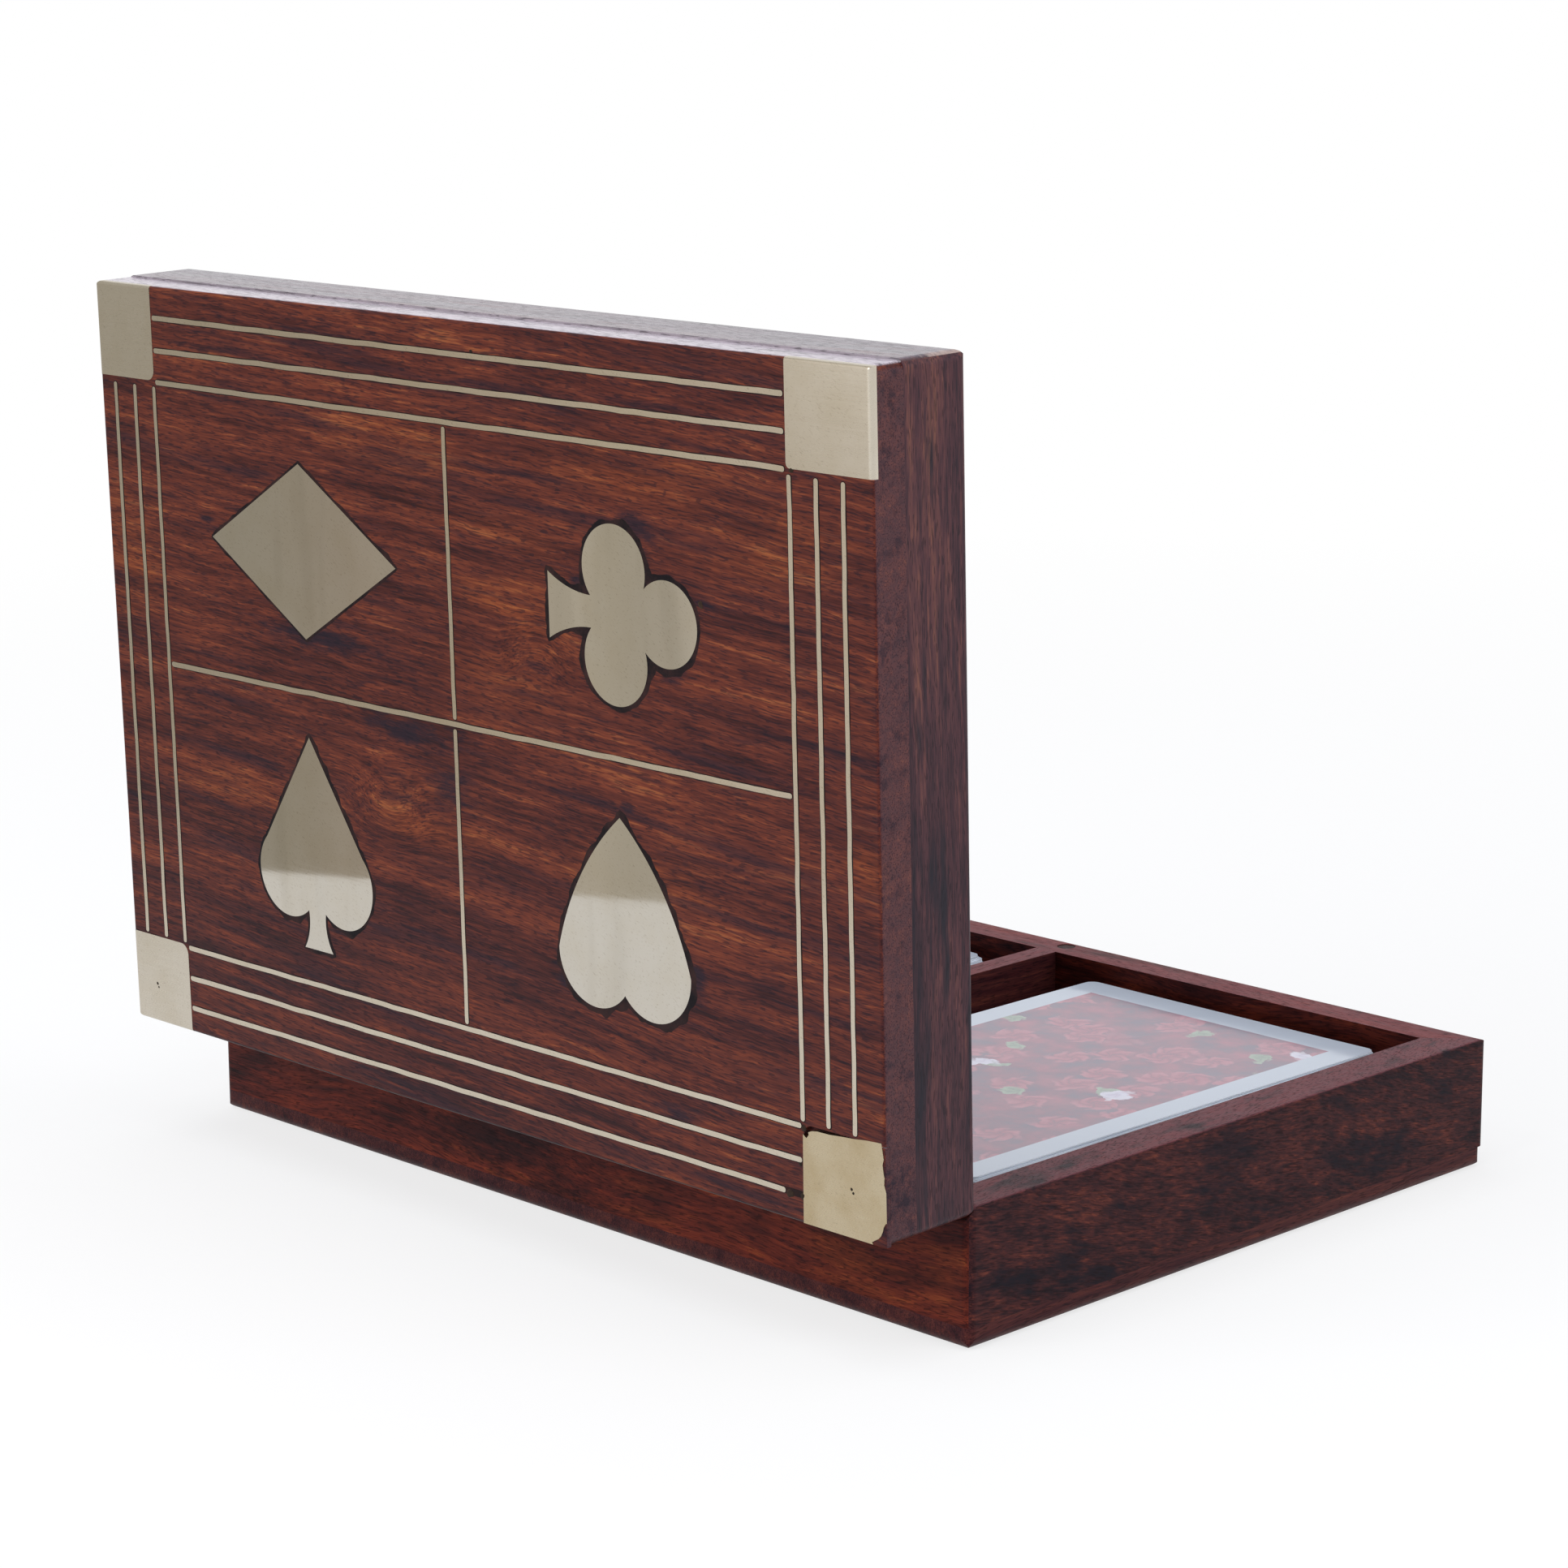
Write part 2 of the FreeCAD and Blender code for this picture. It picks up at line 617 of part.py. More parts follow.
def suit_point(suit, forward, aside, along):
    """A place on a suit, from its datum point: forward along its axis and aside from it."""
    x, y = SUIT_PLACES[suit]
    if along == "x":
        return (f"{x} - ({forward})", f"{y} + ({aside})")
    return (f"{x} + ({aside})", f"{y} + ({forward})")


def suit_outline(suit, half, along):
    """A suit's whole outline from the half on one side of its axis."""
    there = [(*suit_point(suit, forward, aside, along), is_via) for forward, aside, is_via in half]
    back = [(*suit_point(suit, forward, f"-({aside})", along), is_via)
            for forward, aside, is_via in reversed(half) if aside != "0"]
    return there + back


def diamond_outline():
    """The datum is the middle."""
    half = [corner("-diamond_width / 2", "0"), corner("0", "diamond_length / 2"),
            corner("diamond_width / 2", "0")]
    return suit_outline("diamond", half, "y")


def heart_outline():
    """The tip is the datum, and each side bows out from it into a round lobe."""
    radius, spread = "heart_lobe_radius", "heart_lobe_spread"
    wide = f"{spread} + {radius}"
    half = [corner("0", "0"),
            via("heart_length * 0.55", f"({wide}) * 0.71"),
            corner("heart_length", wide),
            via(f"heart_length + {radius}", spread),
            corner(f"heart_length + sqrt({radius} ^ 2 - {spread} ^ 2)", "0")]
    return suit_outline("heart", half, "y")


def spade_outline():
    """The tip is the datum, and a flared foot stands between the two lobes."""
    radius, spread = "spade_lobe_radius", "spade_lobe_spread"
    slant = f"{radius} * sqrt(2) / 2"
    neck_drop = f"sqrt({radius} ^ 2 - ({spread} - spade_neck_width / 2) ^ 2)"
    neck = f"spade_length + {neck_drop}"
    half = [corner("0", "0"),
            corner(f"spade_length - {slant}", f"{spread} + {slant}"),
            via(f"spade_length + {slant}", f"{spread} + {slant}"),
            corner(neck, "spade_neck_width / 2"),
            via(f"({neck}) * 0.4 + spade_foot_reach * 0.6", "spade_neck_width / 2 + spade_foot_width * 0.03"),
            corner("spade_foot_reach", "spade_foot_width / 2")]
    return suit_outline("spade", half, "y")


def club_outline():
    """The datum is midway between the two side lobes, and the third lobe points forward."""
    radius, spread, reach = "club_lobe_radius", "club_lobe_spread", "club_lobe_reach"
    chord = f"sqrt({reach} ^ 2 + {spread} ^ 2)"
    rise = f"sqrt({radius} ^ 2 - ({reach} ^ 2 + {spread} ^ 2) / 4)"
    crotch_x = f"{reach} / 2 + {rise} * {spread} / {chord}"
    crotch_y = f"{spread} / 2 + {rise} * {reach} / {chord}"
    half = [corner("-club_foot_reach", "club_foot_width / 2"),
            via("-club_foot_reach * 0.45 - club_neck_reach * 0.55",
                "club_neck_width / 2 + club_foot_width * 0.05"),
            corner("-club_neck_reach", "club_neck_width / 2"),
            via("0", f"{spread} + {radius}"),
            corner(crotch_x, crotch_y),
            via(f"{reach} + {radius}", "0")]
    return suit_outline("club", half, "x")


def make_suits():
    """The suit inlays, the recesses that they lie in and the filler round them."""
    suits, recesses, fillers = [], [], []
    outlines = {"diamond": diamond_outline(), "club": club_outline(),
                "spade": spade_outline(), "heart": heart_outline()}
    for suit, outline in outlines.items():
        sketch = doc.addObject("Sketcher::SketchObject", f"{suit}_sketch")
        bind(sketch, ".Placement.Base.z", INLAY_FLOOR)
        draw(sketch, outline)
        grown = doc.addObject("Part::Offset2D", f"{suit}_grown")
        grown.Source = sketch
        bind(grown, "Value", "filler_width")
        inlay = extruded(f"{suit}_inlay", sketch, "inlay_thickness")
        recess = extruded(f"{suit}_recess", grown, "inlay_thickness - inlay_proud")
        suits.append(keep(inlay, f"{suit}_inlay"))
        recesses.append(recess)
        core = extruded(f"{suit}_core", sketch, "inlay_thickness")
        fillers.append(cut(f"{suit}_filler", recess, [core]))
    filler = doc.addObject("Part::Compound", "suit_filler")
    filler.Links = fillers
    return suits, recesses, keep(filler, "suit_filler")


def extruded(name, sketch, length):
    item = doc.addObject("Part::Extrusion", name)
    item.Base = sketch
    item.DirMode = "Custom"
    item.Dir = Vector(0, 0, 1)
    item.Solid = True
    bind(item, "LengthFwd", length)
    return item


def make_lid():
    magnet_roof = f"{LID_RIM} + magnet_sink + magnet_thickness"
    lid_magnet = magnet("lid_magnet", f"{LID_RIM} + magnet_sink", magnet_roof)
    swing(keep(lid_magnet, "lid_magnet"))
    tools = {"front": [magnet("lid_magnet_seat", LID_RIM, magnet_roof)],
             "back": hinge_seat("lid_seat", True)}
    for wall in frame_walls("lid", LID_RIM, LID_SEAM, "+", tools):
        swing(wall)
    lines = border_lines() + cross_lines()
    suits, recesses, filler = make_suits()
    corners = [(side, hand) for side in ("front", "back") for hand in ("left", "right")]
    forms = [plate_form(side, hand) for side, hand in corners]
    pins = [plate_pin(side, hand) for side, hand in corners]
    panel = cut("lid_panel", panel_block("panel_blank", LID_FACE), lines + recesses + forms + pins)
    swing(keep(panel, "lid_panel"))
    plates_form = panel_block("plates_blank", INLAY_TOP)
    for (side, hand), form, pin in zip(corners, forms, pins):
        label = f"corner_plate_{side}_{hand}"
        plate = cut(label, common(f"{label}_whole", [plates_form, form]), [pin])
        swing(keep(plate, label))
    pin_group = doc.addObject("Part::Compound", "corner_plate_pins")
    pin_group.Links = pins
    swing(keep(pin_group, "corner_plate_pins"))
    for item in suits + [filler]:
        swing(item)


# --- Packs of cards --------------------------------------------------------------------------------


def make_pack(side, x, turn):
    """A squared-up pack and the card on top of it, which shows its printed back."""
    outline = rounded_rectangle("(-card_width / 2)", "(card_width / 2)",
                                "(-card_length / 2)", "(card_length / 2)", "card_corner")
    y = f"{INNER_FRONT} + {CARD_SLACK} * pack_front_share + card_length / 2"
    z = f"{BASE_SEAM} + pack_rest_gap"
    spot = f"placement(vector({x}; {y}; {z}); rotation(vector(0; 0; 1); {turn}))"
    pack = prism(f"{side}_card_pack", "XY_Plane", outline, "0", "pack_thickness")
    card = prism(f"{side}_top_card", "XY_Plane", outline, "pack_thickness", "card_thickness")
    for item in (pack, card):
        bind(item, "Placement", spot)
        keep(item, item.Name)


def make_packs():
    # The more room the well leaves, the further a pack can turn in it.
    make_pack("left", f"{INNER_LEFT} + left_pack_gap + card_width / 2", f"{CARD_SLACK} * left_pack_turn")
    make_pack("right", f"{INNER_RIGHT} - right_pack_gap - card_width / 2", "0")


def check_and_export():
    """Stops on any failed object or bad solid, then writes one STEP file for each piece."""
    doc.recompute()
    for item in doc.Objects:
        if "Invalid" in item.State or "Error" in item.State:
            raise RuntimeError(f"{item.Name} failed: {item.State}")
    os.makedirs("parts", exist_ok=True)
    for piece in pieces:
        if piece.Shape.isNull() or not piece.Shape.isValid() or not piece.Shape.Solids:
            raise RuntimeError(f"{piece.Label} has no valid solid")
        piece.Shape.exportStep(f"parts/{piece.Label}.step")
    print(len(pieces), "pieces written")


fill_sheet()
make_base()
make_hinges()
make_lid()
make_packs()
check_and_export()
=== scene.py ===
"""Dresses a rosewood playing card box: a hinged lid with brass inlay, and two packs of cards."""

import functools
import json
import math
import random

import bmesh
import bpy
from bpy.props import FloatProperty, FloatVectorProperty, IntProperty, PointerProperty
from bpy.types import Operator, Panel, PropertyGroup
from mathutils import Matrix, Vector, noise


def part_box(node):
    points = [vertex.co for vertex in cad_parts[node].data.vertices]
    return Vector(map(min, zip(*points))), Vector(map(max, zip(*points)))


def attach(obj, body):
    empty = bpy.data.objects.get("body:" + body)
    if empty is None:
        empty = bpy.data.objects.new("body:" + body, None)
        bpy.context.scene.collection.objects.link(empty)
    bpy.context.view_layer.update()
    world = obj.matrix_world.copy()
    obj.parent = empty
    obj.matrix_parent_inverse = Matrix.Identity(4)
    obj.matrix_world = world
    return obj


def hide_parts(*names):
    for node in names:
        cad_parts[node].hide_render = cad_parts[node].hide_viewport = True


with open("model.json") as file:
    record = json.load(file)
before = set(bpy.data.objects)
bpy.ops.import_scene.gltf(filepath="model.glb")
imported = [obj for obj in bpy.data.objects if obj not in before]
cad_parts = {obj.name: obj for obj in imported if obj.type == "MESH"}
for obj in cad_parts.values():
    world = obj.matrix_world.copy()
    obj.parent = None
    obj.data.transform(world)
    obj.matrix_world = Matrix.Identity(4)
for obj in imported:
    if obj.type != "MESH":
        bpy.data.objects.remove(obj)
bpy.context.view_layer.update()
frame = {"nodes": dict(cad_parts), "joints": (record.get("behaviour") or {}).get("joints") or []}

bl_info = {
    "name": "Playing card box",
    "version": (1, 0, 0),
    "blender": (4, 5, 0),
    "location": "View3D > Sidebar > Card box",
    "description": "Finishes a hinged rosewood card box with brass inlay and two packs of cards",
    "category": "Object",
}

MM = 0.001


def linear(code):
    """An sRGB hex colour as linear red, green and blue."""
    parts = [int(code[i : i + 2], 16) / 255 for i in (1, 3, 5)]
    return tuple(c / 12.92 if c <= 0.04045 else ((c + 0.055) / 1.055) ** 2.4 for c in parts)


def rgba(colour):
    """A colour with full opacity, from hex or from linear parts."""
    return (*(linear(colour) if isinstance(colour, str) else colour), 1)


# ---------------------------------------------------------------- the lid's own frame

HINGE = next(j for j in frame["joints"] if j["name"] == "lid_hinge")
PIVOT = Vector(HINGE["pos_m"])
OPEN_ANGLE = math.radians(HINGE["range_deg"][1])
# Lid pieces are modelled on the closed lid, whose face is level, and then swung open with it.
SWING_OPEN = (
    Matrix.Translation(PIVOT)
    @ Matrix.Rotation(-OPEN_ANGLE, 4, "X")
    @ Matrix.Translation(-PIVOT)
)
SWING_SHUT = SWING_OPEN.inverted()


def closed_box(name):
    """The lowest and highest corners of a lid node with the lid shut."""
    points = [SWING_SHUT @ v.co for v in frame["nodes"][name].data.vertices]
    return [Vector([end(p[axis] for p in points) for axis in range(3)]) for end in (min, max)]


INLAY_TOP = closed_box("cross_long")[1].z
LID_FACE = closed_box("lid_panel")[1].z


# ---------------------------------------------------------------- modelling helpers

MERGE_DISTANCE = 1e-6
# An edge or a face counts as facing an axis from this cosine up.
ALIGNED = 0.99


def select(*pieces):
    """Leaves only these pieces selected, in object mode, with the first of them active."""
    if bpy.context.mode != "OBJECT":
        bpy.ops.object.mode_set(mode="OBJECT")
    bpy.ops.object.select_all(action="DESELECT")
    for piece in pieces:
        piece.select_set(True)
    if pieces:
        bpy.context.view_layer.objects.active = pieces[0]


def adopt(name):
    """Names the object that an operator has just made, and its mesh."""
    piece = bpy.context.object
    piece.name = piece.data.name = name
    return piece


def block(name, low, high):
    """A block between two corners, with its place in its mesh."""
    low, high = Vector(low), Vector(high)
    select()
    bpy.ops.mesh.primitive_cube_add(size=1, location=(low + high) / 2, scale=high - low)
    bpy.ops.object.transform_apply(location=True, rotation=True, scale=True)
    return adopt(name)


def edit(piece):
    """Opens a piece in edit mode with nothing selected."""
    select(piece)
    bpy.ops.object.mode_set(mode="EDIT")
    bpy.ops.mesh.select_all(action="DESELECT")


def pick(piece, kind, test):
    """Selects, of a piece in edit mode, only the vertices, edges or faces that pass a test."""
    bpy.ops.mesh.select_mode(type=kind)
    bpy.ops.mesh.select_all(action="DESELECT")
    form = bmesh.from_edit_mesh(piece.data)
    for item in {"VERT": form.verts, "EDGE": form.edges, "FACE": form.faces}[kind]:
        if test(item):
            item.select_set(True)
    form.select_flush_mode()
    bmesh.update_edit_mesh(piece.data)


def bevel(piece, kind, test, offset, segments, **settings):
    """Bevels those vertices or edges of a piece that pass a test."""
    edit(piece)
    pick(piece, kind, test)
    bpy.ops.mesh.bevel(offset=offset, segments=segments, **settings)
    bpy.ops.object.mode_set(mode="OBJECT")


def runs_along(axis):
    """A test for edges that run along an axis: 0, 1 or 2."""
    return lambda edge: abs((edge.verts[0].co - edge.verts[1].co).normalized()[axis]) > ALIGNED


def middle(edge):
    """The point halfway along an edge."""
    return (edge.verts[0].co + edge.verts[1].co) / 2


def roughen(piece, directions, depth, spacing):
    """Pushes a piece's points to and fro, over dents of a given spacing."""
    select(piece)
    for direction in directions:
        texture = bpy.data.textures.new(f"{piece.name}_dents", "CLOUDS")
        texture.noise_scale = spacing
        texture.noise_depth = 1
        dents = piece.modifiers.new("dents", "DISPLACE")
        dents.texture = texture
        dents.texture_coords = "LOCAL"
        dents.direction = direction
        dents.strength = depth
        dents.mid_level = 0.5
        bpy.ops.object.modifier_apply(modifier=dents.name)


def strip(name, low, high, along, cuts, round_end):
    """A strip along one axis with rounded ends, cut across so that it can stray sideways."""
    piece = block(name, low, high)
    bevel(piece, "EDGE", runs_along(2), round_end, 3)
    # The long sides are the edges that run along the strip for most of its length.
    span = high[along] - low[along]
    runs = runs_along(along)
    edit(piece)
    pick(piece, "EDGE", lambda e: runs(e) and e.calc_length() > span * 0.8)
    bpy.ops.mesh.subdivide(number_cuts=cuts)
    bpy.ops.object.mode_set(mode="OBJECT")
    return piece


def blob(name, place, radius, top, depth):
    """A shallow, irregular drop of filler that lies on a level face."""
    select()
    bpy.ops.mesh.primitive_uv_sphere_add(segments=24, ring_count=8, radius=radius,
                                         location=(*place, 0))
    bpy.ops.object.transform_apply(location=True, rotation=True, scale=True)
    piece = adopt(name)
    roughen(piece, "XY", radius * 0.9, 1.1 * MM)
    # It is pressed flat last, so that the dents leave its top level.
    piece.data.transform(Matrix.Translation((0, 0, top - depth))
                         @ Matrix.Scale(depth / radius, 4, (0, 0, 1)))
    return piece


def shut_copy(name, source):
    """A copy of a lid node on the closed lid, with its loose triangles merged."""
    piece = bpy.data.objects.new(name, frame["nodes"][source].data.copy())
    piece.data.name = name
    bpy.context.collection.objects.link(piece)
    piece.data.transform(SWING_SHUT)
    edit(piece)
    bpy.ops.mesh.select_all(action="SELECT")
    bpy.ops.mesh.remove_doubles(threshold=MERGE_DISTANCE)
    bpy.ops.object.mode_set(mode="OBJECT")
    return piece


def join(name, pieces):
    """Joins pieces into one, under a new name."""
    select(*pieces)
    if len(pieces) > 1:
        bpy.ops.object.join()
    return adopt(name)


def settle(piece, body, material, stands_for=(), smooth=40):
    """Finishes a piece: it is swung open if it is on the lid, and it rides on its body."""
    select(piece)
    if smooth:
        bpy.ops.object.shade_smooth_by_angle(angle=math.radians(smooth))
    if body == "lid":
        piece.data.transform(SWING_OPEN)
    if material:
        piece.data.materials.clear()
        piece.data.materials.append(material)
    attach(piece, body)
    if stands_for:
        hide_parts(*stands_for)


def finish_nodes(material, *names):
    """Gives CAD nodes a material."""
    for name in names:
        mesh = frame["nodes"][name].data
        if not mesh.materials:
            mesh.materials.append(material)
        for place in range(len(mesh.materials)):
            mesh.materials[place] = material


# ---------------------------------------------------------------- material helpers

# The colour mix node's sockets: how much, what lies under, what lies over, and the result.
FACTOR, UNDER, OVER, MIXED = 0, 6, 7, 2


def node(tree, kind, inputs=(), out=0, stops=(), **settings):
    """Adds a node with its settings and links, and gives one of its outputs, or all of them.

    The inputs are a list in the order of the node's sockets, or go by name or number. Stops are
    a colour ramp's places and colours."""
    made = tree.nodes.new("ShaderNode" + kind)
    for name, value in settings.items():
        setattr(made, name, value)
    for name, value in inputs.items() if isinstance(inputs, dict) else enumerate(inputs):
        socket = made.inputs[name]
        if isinstance(value, bpy.types.NodeSocket):
            tree.links.new(value, socket)
        else:
            socket.default_value = rgba(value) if socket.type == "RGBA" else value
    for number, (place, colour) in enumerate(stops):
        points = made.color_ramp.elements
        point = points[number] if number < len(points) else points.new(place)
        point.position, point.color = place, rgba(colour)
    return made.outputs if out is None else made.outputs[out]


def new_material(name):
    """A new empty material, and the function that adds nodes to it."""
    material = bpy.data.materials.new(name)
    material.use_nodes = True
    material.node_tree.nodes.clear()
    return material, functools.partial(node, material.node_tree)


def overlaid(add, colour, layers):
    """A colour with others laid over it in turn. A layer is (how much, colour)."""
    for amount, over in layers:
        colour = add("Mix", {FACTOR: amount, UNDER: colour, OVER: over}, MIXED, data_type="RGBA")
    return colour


def coat(add, inputs, height, strength, depth):
    """Ends a material with its shader. Its relief is a height, how strong and how deep in mm."""
    relief = add("Bump", {"Height": height, "Strength": strength, "Distance": depth * MM})
    shader = add("BsdfPrincipled", {**inputs, "Normal": relief})
    add("OutputMaterial", [shader], None)


def within(add, place, patches):
    """How far inside any of some round patches a place is: (centre, half sizes) in mm."""
    found = None
    for centre, sizes in patches:
        off = add("VectorMath", [place, [c * MM for c in centre]], operation="SUBTRACT")
        near = add("VectorMath", [off, [1 / (s * MM) for s in sizes]], operation="MULTIPLY")
        far = add("VectorMath", [near], "Value", operation="LENGTH")
        patch = add("MapRange", [far, 1, 0], interpolation_type="SMOOTHSTEP")
        found = add("Math", [found, patch], operation="MAXIMUM") if found else patch
    return found


def figure(add, grain, marks, detail=2.0, seed=0.0, rough=0.5):
    """Noise drawn out along the grain. Its marks are (length, width) in mm."""
    length, width = (1 / (size * MM) for size in marks)
    drawn = add("VectorMath", [grain, (length, width, width), (seed, seed, seed)],
                operation="MULTIPLY_ADD")
    return add("TexNoise", {"Vector": drawn, "Scale": 1.0, "Detail": detail, "Roughness": rough})


# ---------------------------------------------------------------- rosewood

# How far a board is turned to bring its grain to the pattern's own X axis.
GRAIN_TURNS = {
    "x": (0, 0, 0),
    "x falling": (0, math.radians(3.5), 0),
    "y": (0, 0, -math.pi / 2),
    "lid end": (OPEN_ANGLE - math.pi, 0, -math.pi / 2),
    "slanting": (math.radians(-13), 0, -math.pi / 2),
}
# Which way faces turn, with the lid open.
LEFT, RIGHT, UP, SEAMWARD = (-1, 0, 0), (1, 0, 0), (0, 0, 1), (0, 1, 0)
LOWER_ARRIS = (0, 0.7071, -0.7071)
# Between these cosines a face comes to count as turned one way.
FACING = (0.8, 0.95)
# The figure of a plain straight-grained board. Marks are (length, width) in mm.
STRAIGHT = {
    "bands": (58, 3.6),
    "streaks": (15, 0.75),
    "fibres": (4.5, 0.25),
    # How much bands, streaks and fibres count, and what part of their sum the tones span.
    "weights": (0.38, 0.35, 0.27),
    "contrast": (0.365, 0.635),
    # How far, in mm, the grain wanders over a hand's width and over a finger's width.
    "bend": 1.5,
    "ripple": 0.3,
    "vein": 0.5,
    "vein_marks": (44, 2.2),
    "vein_colour": "#1b1215",
    "line": 0.42,
    "pore_colour": "#170b0c",
    "gloss": 0.15,
    # Faces that turn one way take a colour of their own, which paints the glare, sheen or shade
    # that light gives them: a direction, a colour and how much.
    "faces": (),
    # They may be burnished too: an axis and how much less rough.
    "polish": None,
    # Darker from one place to another: an axis, two places in mm and a drop.
    "shade": None,
    # Patches in mm, and small knots that the grain bulges round, with how far it bulges.
    "dim": (),
    "flame": (),
    "flame_tones": ("#4a1d12", "#8a4320", "#b26c33"),
    "flame_strength": 0.85,
    "stains": (),
    "swirls": (),
    "worn": (),
}
TONE_PLACES = (0.0, 0.28, 0.52, 0.78, 1.0)
FLAME_PLACES = (0.0, 0.55, 1.0)
DIMMING = 0.04


def wandering_grain(add, place, turn, shift, board):
    """Places along a board's own grain, which wanders sideways and bulges round small knots."""
    turned = add("Mapping", {"Vector": place, "Rotation": GRAIN_TURNS[turn],
                             "Location": [s * MM for s in shift]})
    grain = turned
    for spacing, throw in ((56, board["bend"]), (9, board["ripple"])):
        wander = add("TexNoise", {"Vector": turned, "Scale": 1 / (spacing * MM), "Detail": 1.0},
                     "Color")
        centred = add("VectorMath", [wander, (0.5, 0.5, 0.5)], operation="SUBTRACT")
        grain = add("VectorMath", [centred, (0, 2 * throw * MM, 2 * throw * MM), grain],
                    operation="MULTIPLY_ADD")
    for centre, sizes, throw in board["swirls"]:
        bulge = within(add, place, [(centre, sizes)])
        grain = add("VectorMath", [bulge, (0, throw * MM, throw * MM), grain],
                    operation="MULTIPLY_ADD")
    return grain


def wood_tone(add, place, figures, board):
    """How light the wood is: its bands, streaks and fibres, less what darkens a part of it."""
    tone = add("Math", [figures[0], board["weights"][0]], operation="MULTIPLY")
    for part, weight in zip(figures[1:], board["weights"][1:]):
        tone = add("Math", [part, weight, tone], operation="MULTIPLY_ADD")
    if board["shade"]:
        axis, start, end, drop = board["shade"]
        along = add("SeparateXYZ", [place], axis)
        fall = add("MapRange", [along, start * MM, end * MM, 0.0, drop],
                   interpolation_type="SMOOTHSTEP")
        tone = add("Math", [tone, fall], operation="SUBTRACT")
    if board["dim"]:
        dimmed = add("Math", [within(add, place, board["dim"]), DIMMING], operation="MULTIPLY")
        tone = add("Math", [tone, dimmed], operation="SUBTRACT")
    return add("MapRange", [tone, *board["contrast"]])


def dark_figure(add, place, grain, streaks, board):
    """How much dark veins, growth lines and stains cover the wood."""
    veins = figure(add, grain, board["vein_marks"], 3.0, 19.0, rough=0.6)
    dark = add("MapRange", [veins, 0.54, 0.68, 0.0, board["vein"]])
    # Growth lines: thin and sharp, where one season's wood ends.
    growth = add("Math", [figure(add, grain, (52, 2.1), seed=23.0), 0.5], operation="SUBTRACT")
    growth = add("Math", [growth], operation="ABSOLUTE")
    broken = add("MapRange", [streaks, 0.42, 0.58, 0.0, board["line"]])
    drawn = add("Math", [add("MapRange", [growth, 0.022, 0.0]), broken], operation="MULTIPLY")
    dark = add("Math", [dark, drawn], operation="MAXIMUM")
    if board["stains"]:
        # Patches with ragged edges.
        ragged = figure(add, grain, (6, 1.4), 4.0, 43.0, rough=0.7)
        stained = add("Math", [ragged, 3.0, within(add, place, board["stains"])],
                      operation="MULTIPLY_ADD")
        stained = add("MapRange", [stained, 1.75, 2.5, 0.0, 0.8])
        dark = add("Math", [dark, stained], operation="MAXIMUM")
    return dark


def rosewood(name, turn, shift, tones, **own):
    """Indian rosewood, planed, sanded and waxed.

    To the eye: red-brown to orange streaks along the grain, with dark wandering veins, short dark
    pores one to two millimetres long, and a soft wax sheen that turns pale at a low angle."""
    board = {**STRAIGHT, **own}
    material, add = new_material(name)
    coordinates = add("TexCoord", out=None)
    place, normal = coordinates["Object"], coordinates["Normal"]
    grain = wandering_grain(add, place, turn, shift, board)
    bands, streaks, fibres = (
        figure(add, grain, board[kind], detail, seed, rough=0.6)
        for kind, detail, seed in (("bands", 3.0, 0.0), ("streaks", 3.0, 3.1), ("fibres", 2.0, 7.7))
    )
    tone = wood_tone(add, place, (bands, streaks, fibres), board)
    wood = add("ValToRGB", [tone], stops=list(zip(TONE_PLACES, tones)))
    layers = []
    if board["flame"]:
        # Golden flame: patches where the fibres dip and catch the light, broken up by streaks.
        lit = add("MapRange", [figure(add, grain, (22, 3.4), 3.0, 11.3), 0.40, 0.60])
        glow = add("Math", [within(add, place, board["flame"]), lit], operation="MULTIPLY")
        glow = add("Math", [glow, board["flame_strength"]], operation="MULTIPLY")
        fired = add("ValToRGB", [tone], stops=list(zip(FLAME_PLACES, board["flame_tones"])))
        layers.append((glow, fired))
    # Painted light: faces turned one way are tinted for the glare, sheen or shade they show.
    for direction, hue, amount in board["faces"]:
        facing = add("VectorMath", [normal, direction], "Value", operation="DOT_PRODUCT")
        layers.append((add("MapRange", [facing, *FACING, 0.0, amount]), hue))
    layers.append((dark_figure(add, place, grain, streaks, board), board["vein_colour"]))
    # Pores: short dark dashes, drawn thick enough to see.
    pores = figure(add, grain, (1.7, 0.19), 0.0, 31.0)
    dashes = add("MapRange", [pores, 0.59, 0.66, 0.0, 0.55])
    layers.append((dashes, board["pore_colour"]))
    if board["worn"]:
        # Rubbed arrises, where the polish is pale and dry.
        scuffs = figure(add, grain, (4, 0.7), 3.0, 53.0)
        rubbed = add("Math", [within(add, place, board["worn"]), scuffs], operation="ADD")
        layers.append((add("MapRange", [rubbed, 0.95, 1.35, 0.0, 0.8]), "#b09a90"))
    # The wax lies smooth on the fibres and dull in the pores.
    sheen = add("MapRange", [streaks, 0.3, 0.7, 0.36, 0.48])
    if board["polish"]:
        axis, drop = board["polish"]
        facing = add("SeparateXYZ", [normal], axis)
        burnished = add("MapRange", [facing, *FACING, 0.0, drop])
        sheen = add("Math", [sheen, burnished], operation="SUBTRACT")
    dull = add("Math", [dashes, 0.2, sheen], operation="MULTIPLY_ADD")
    height = add("Math", [dashes, -1.0, fibres], operation="MULTIPLY_ADD")
    coat(add, {"Base Color": overlaid(add, wood, layers), "Roughness": dull, "IOR": 1.47,
               "Specular IOR Level": board["gloss"], "Specular Tint": "#dfe6ff"},
         height, 0.35, 0.03)
    return material


# ---------------------------------------------------------------- brass and other finishes


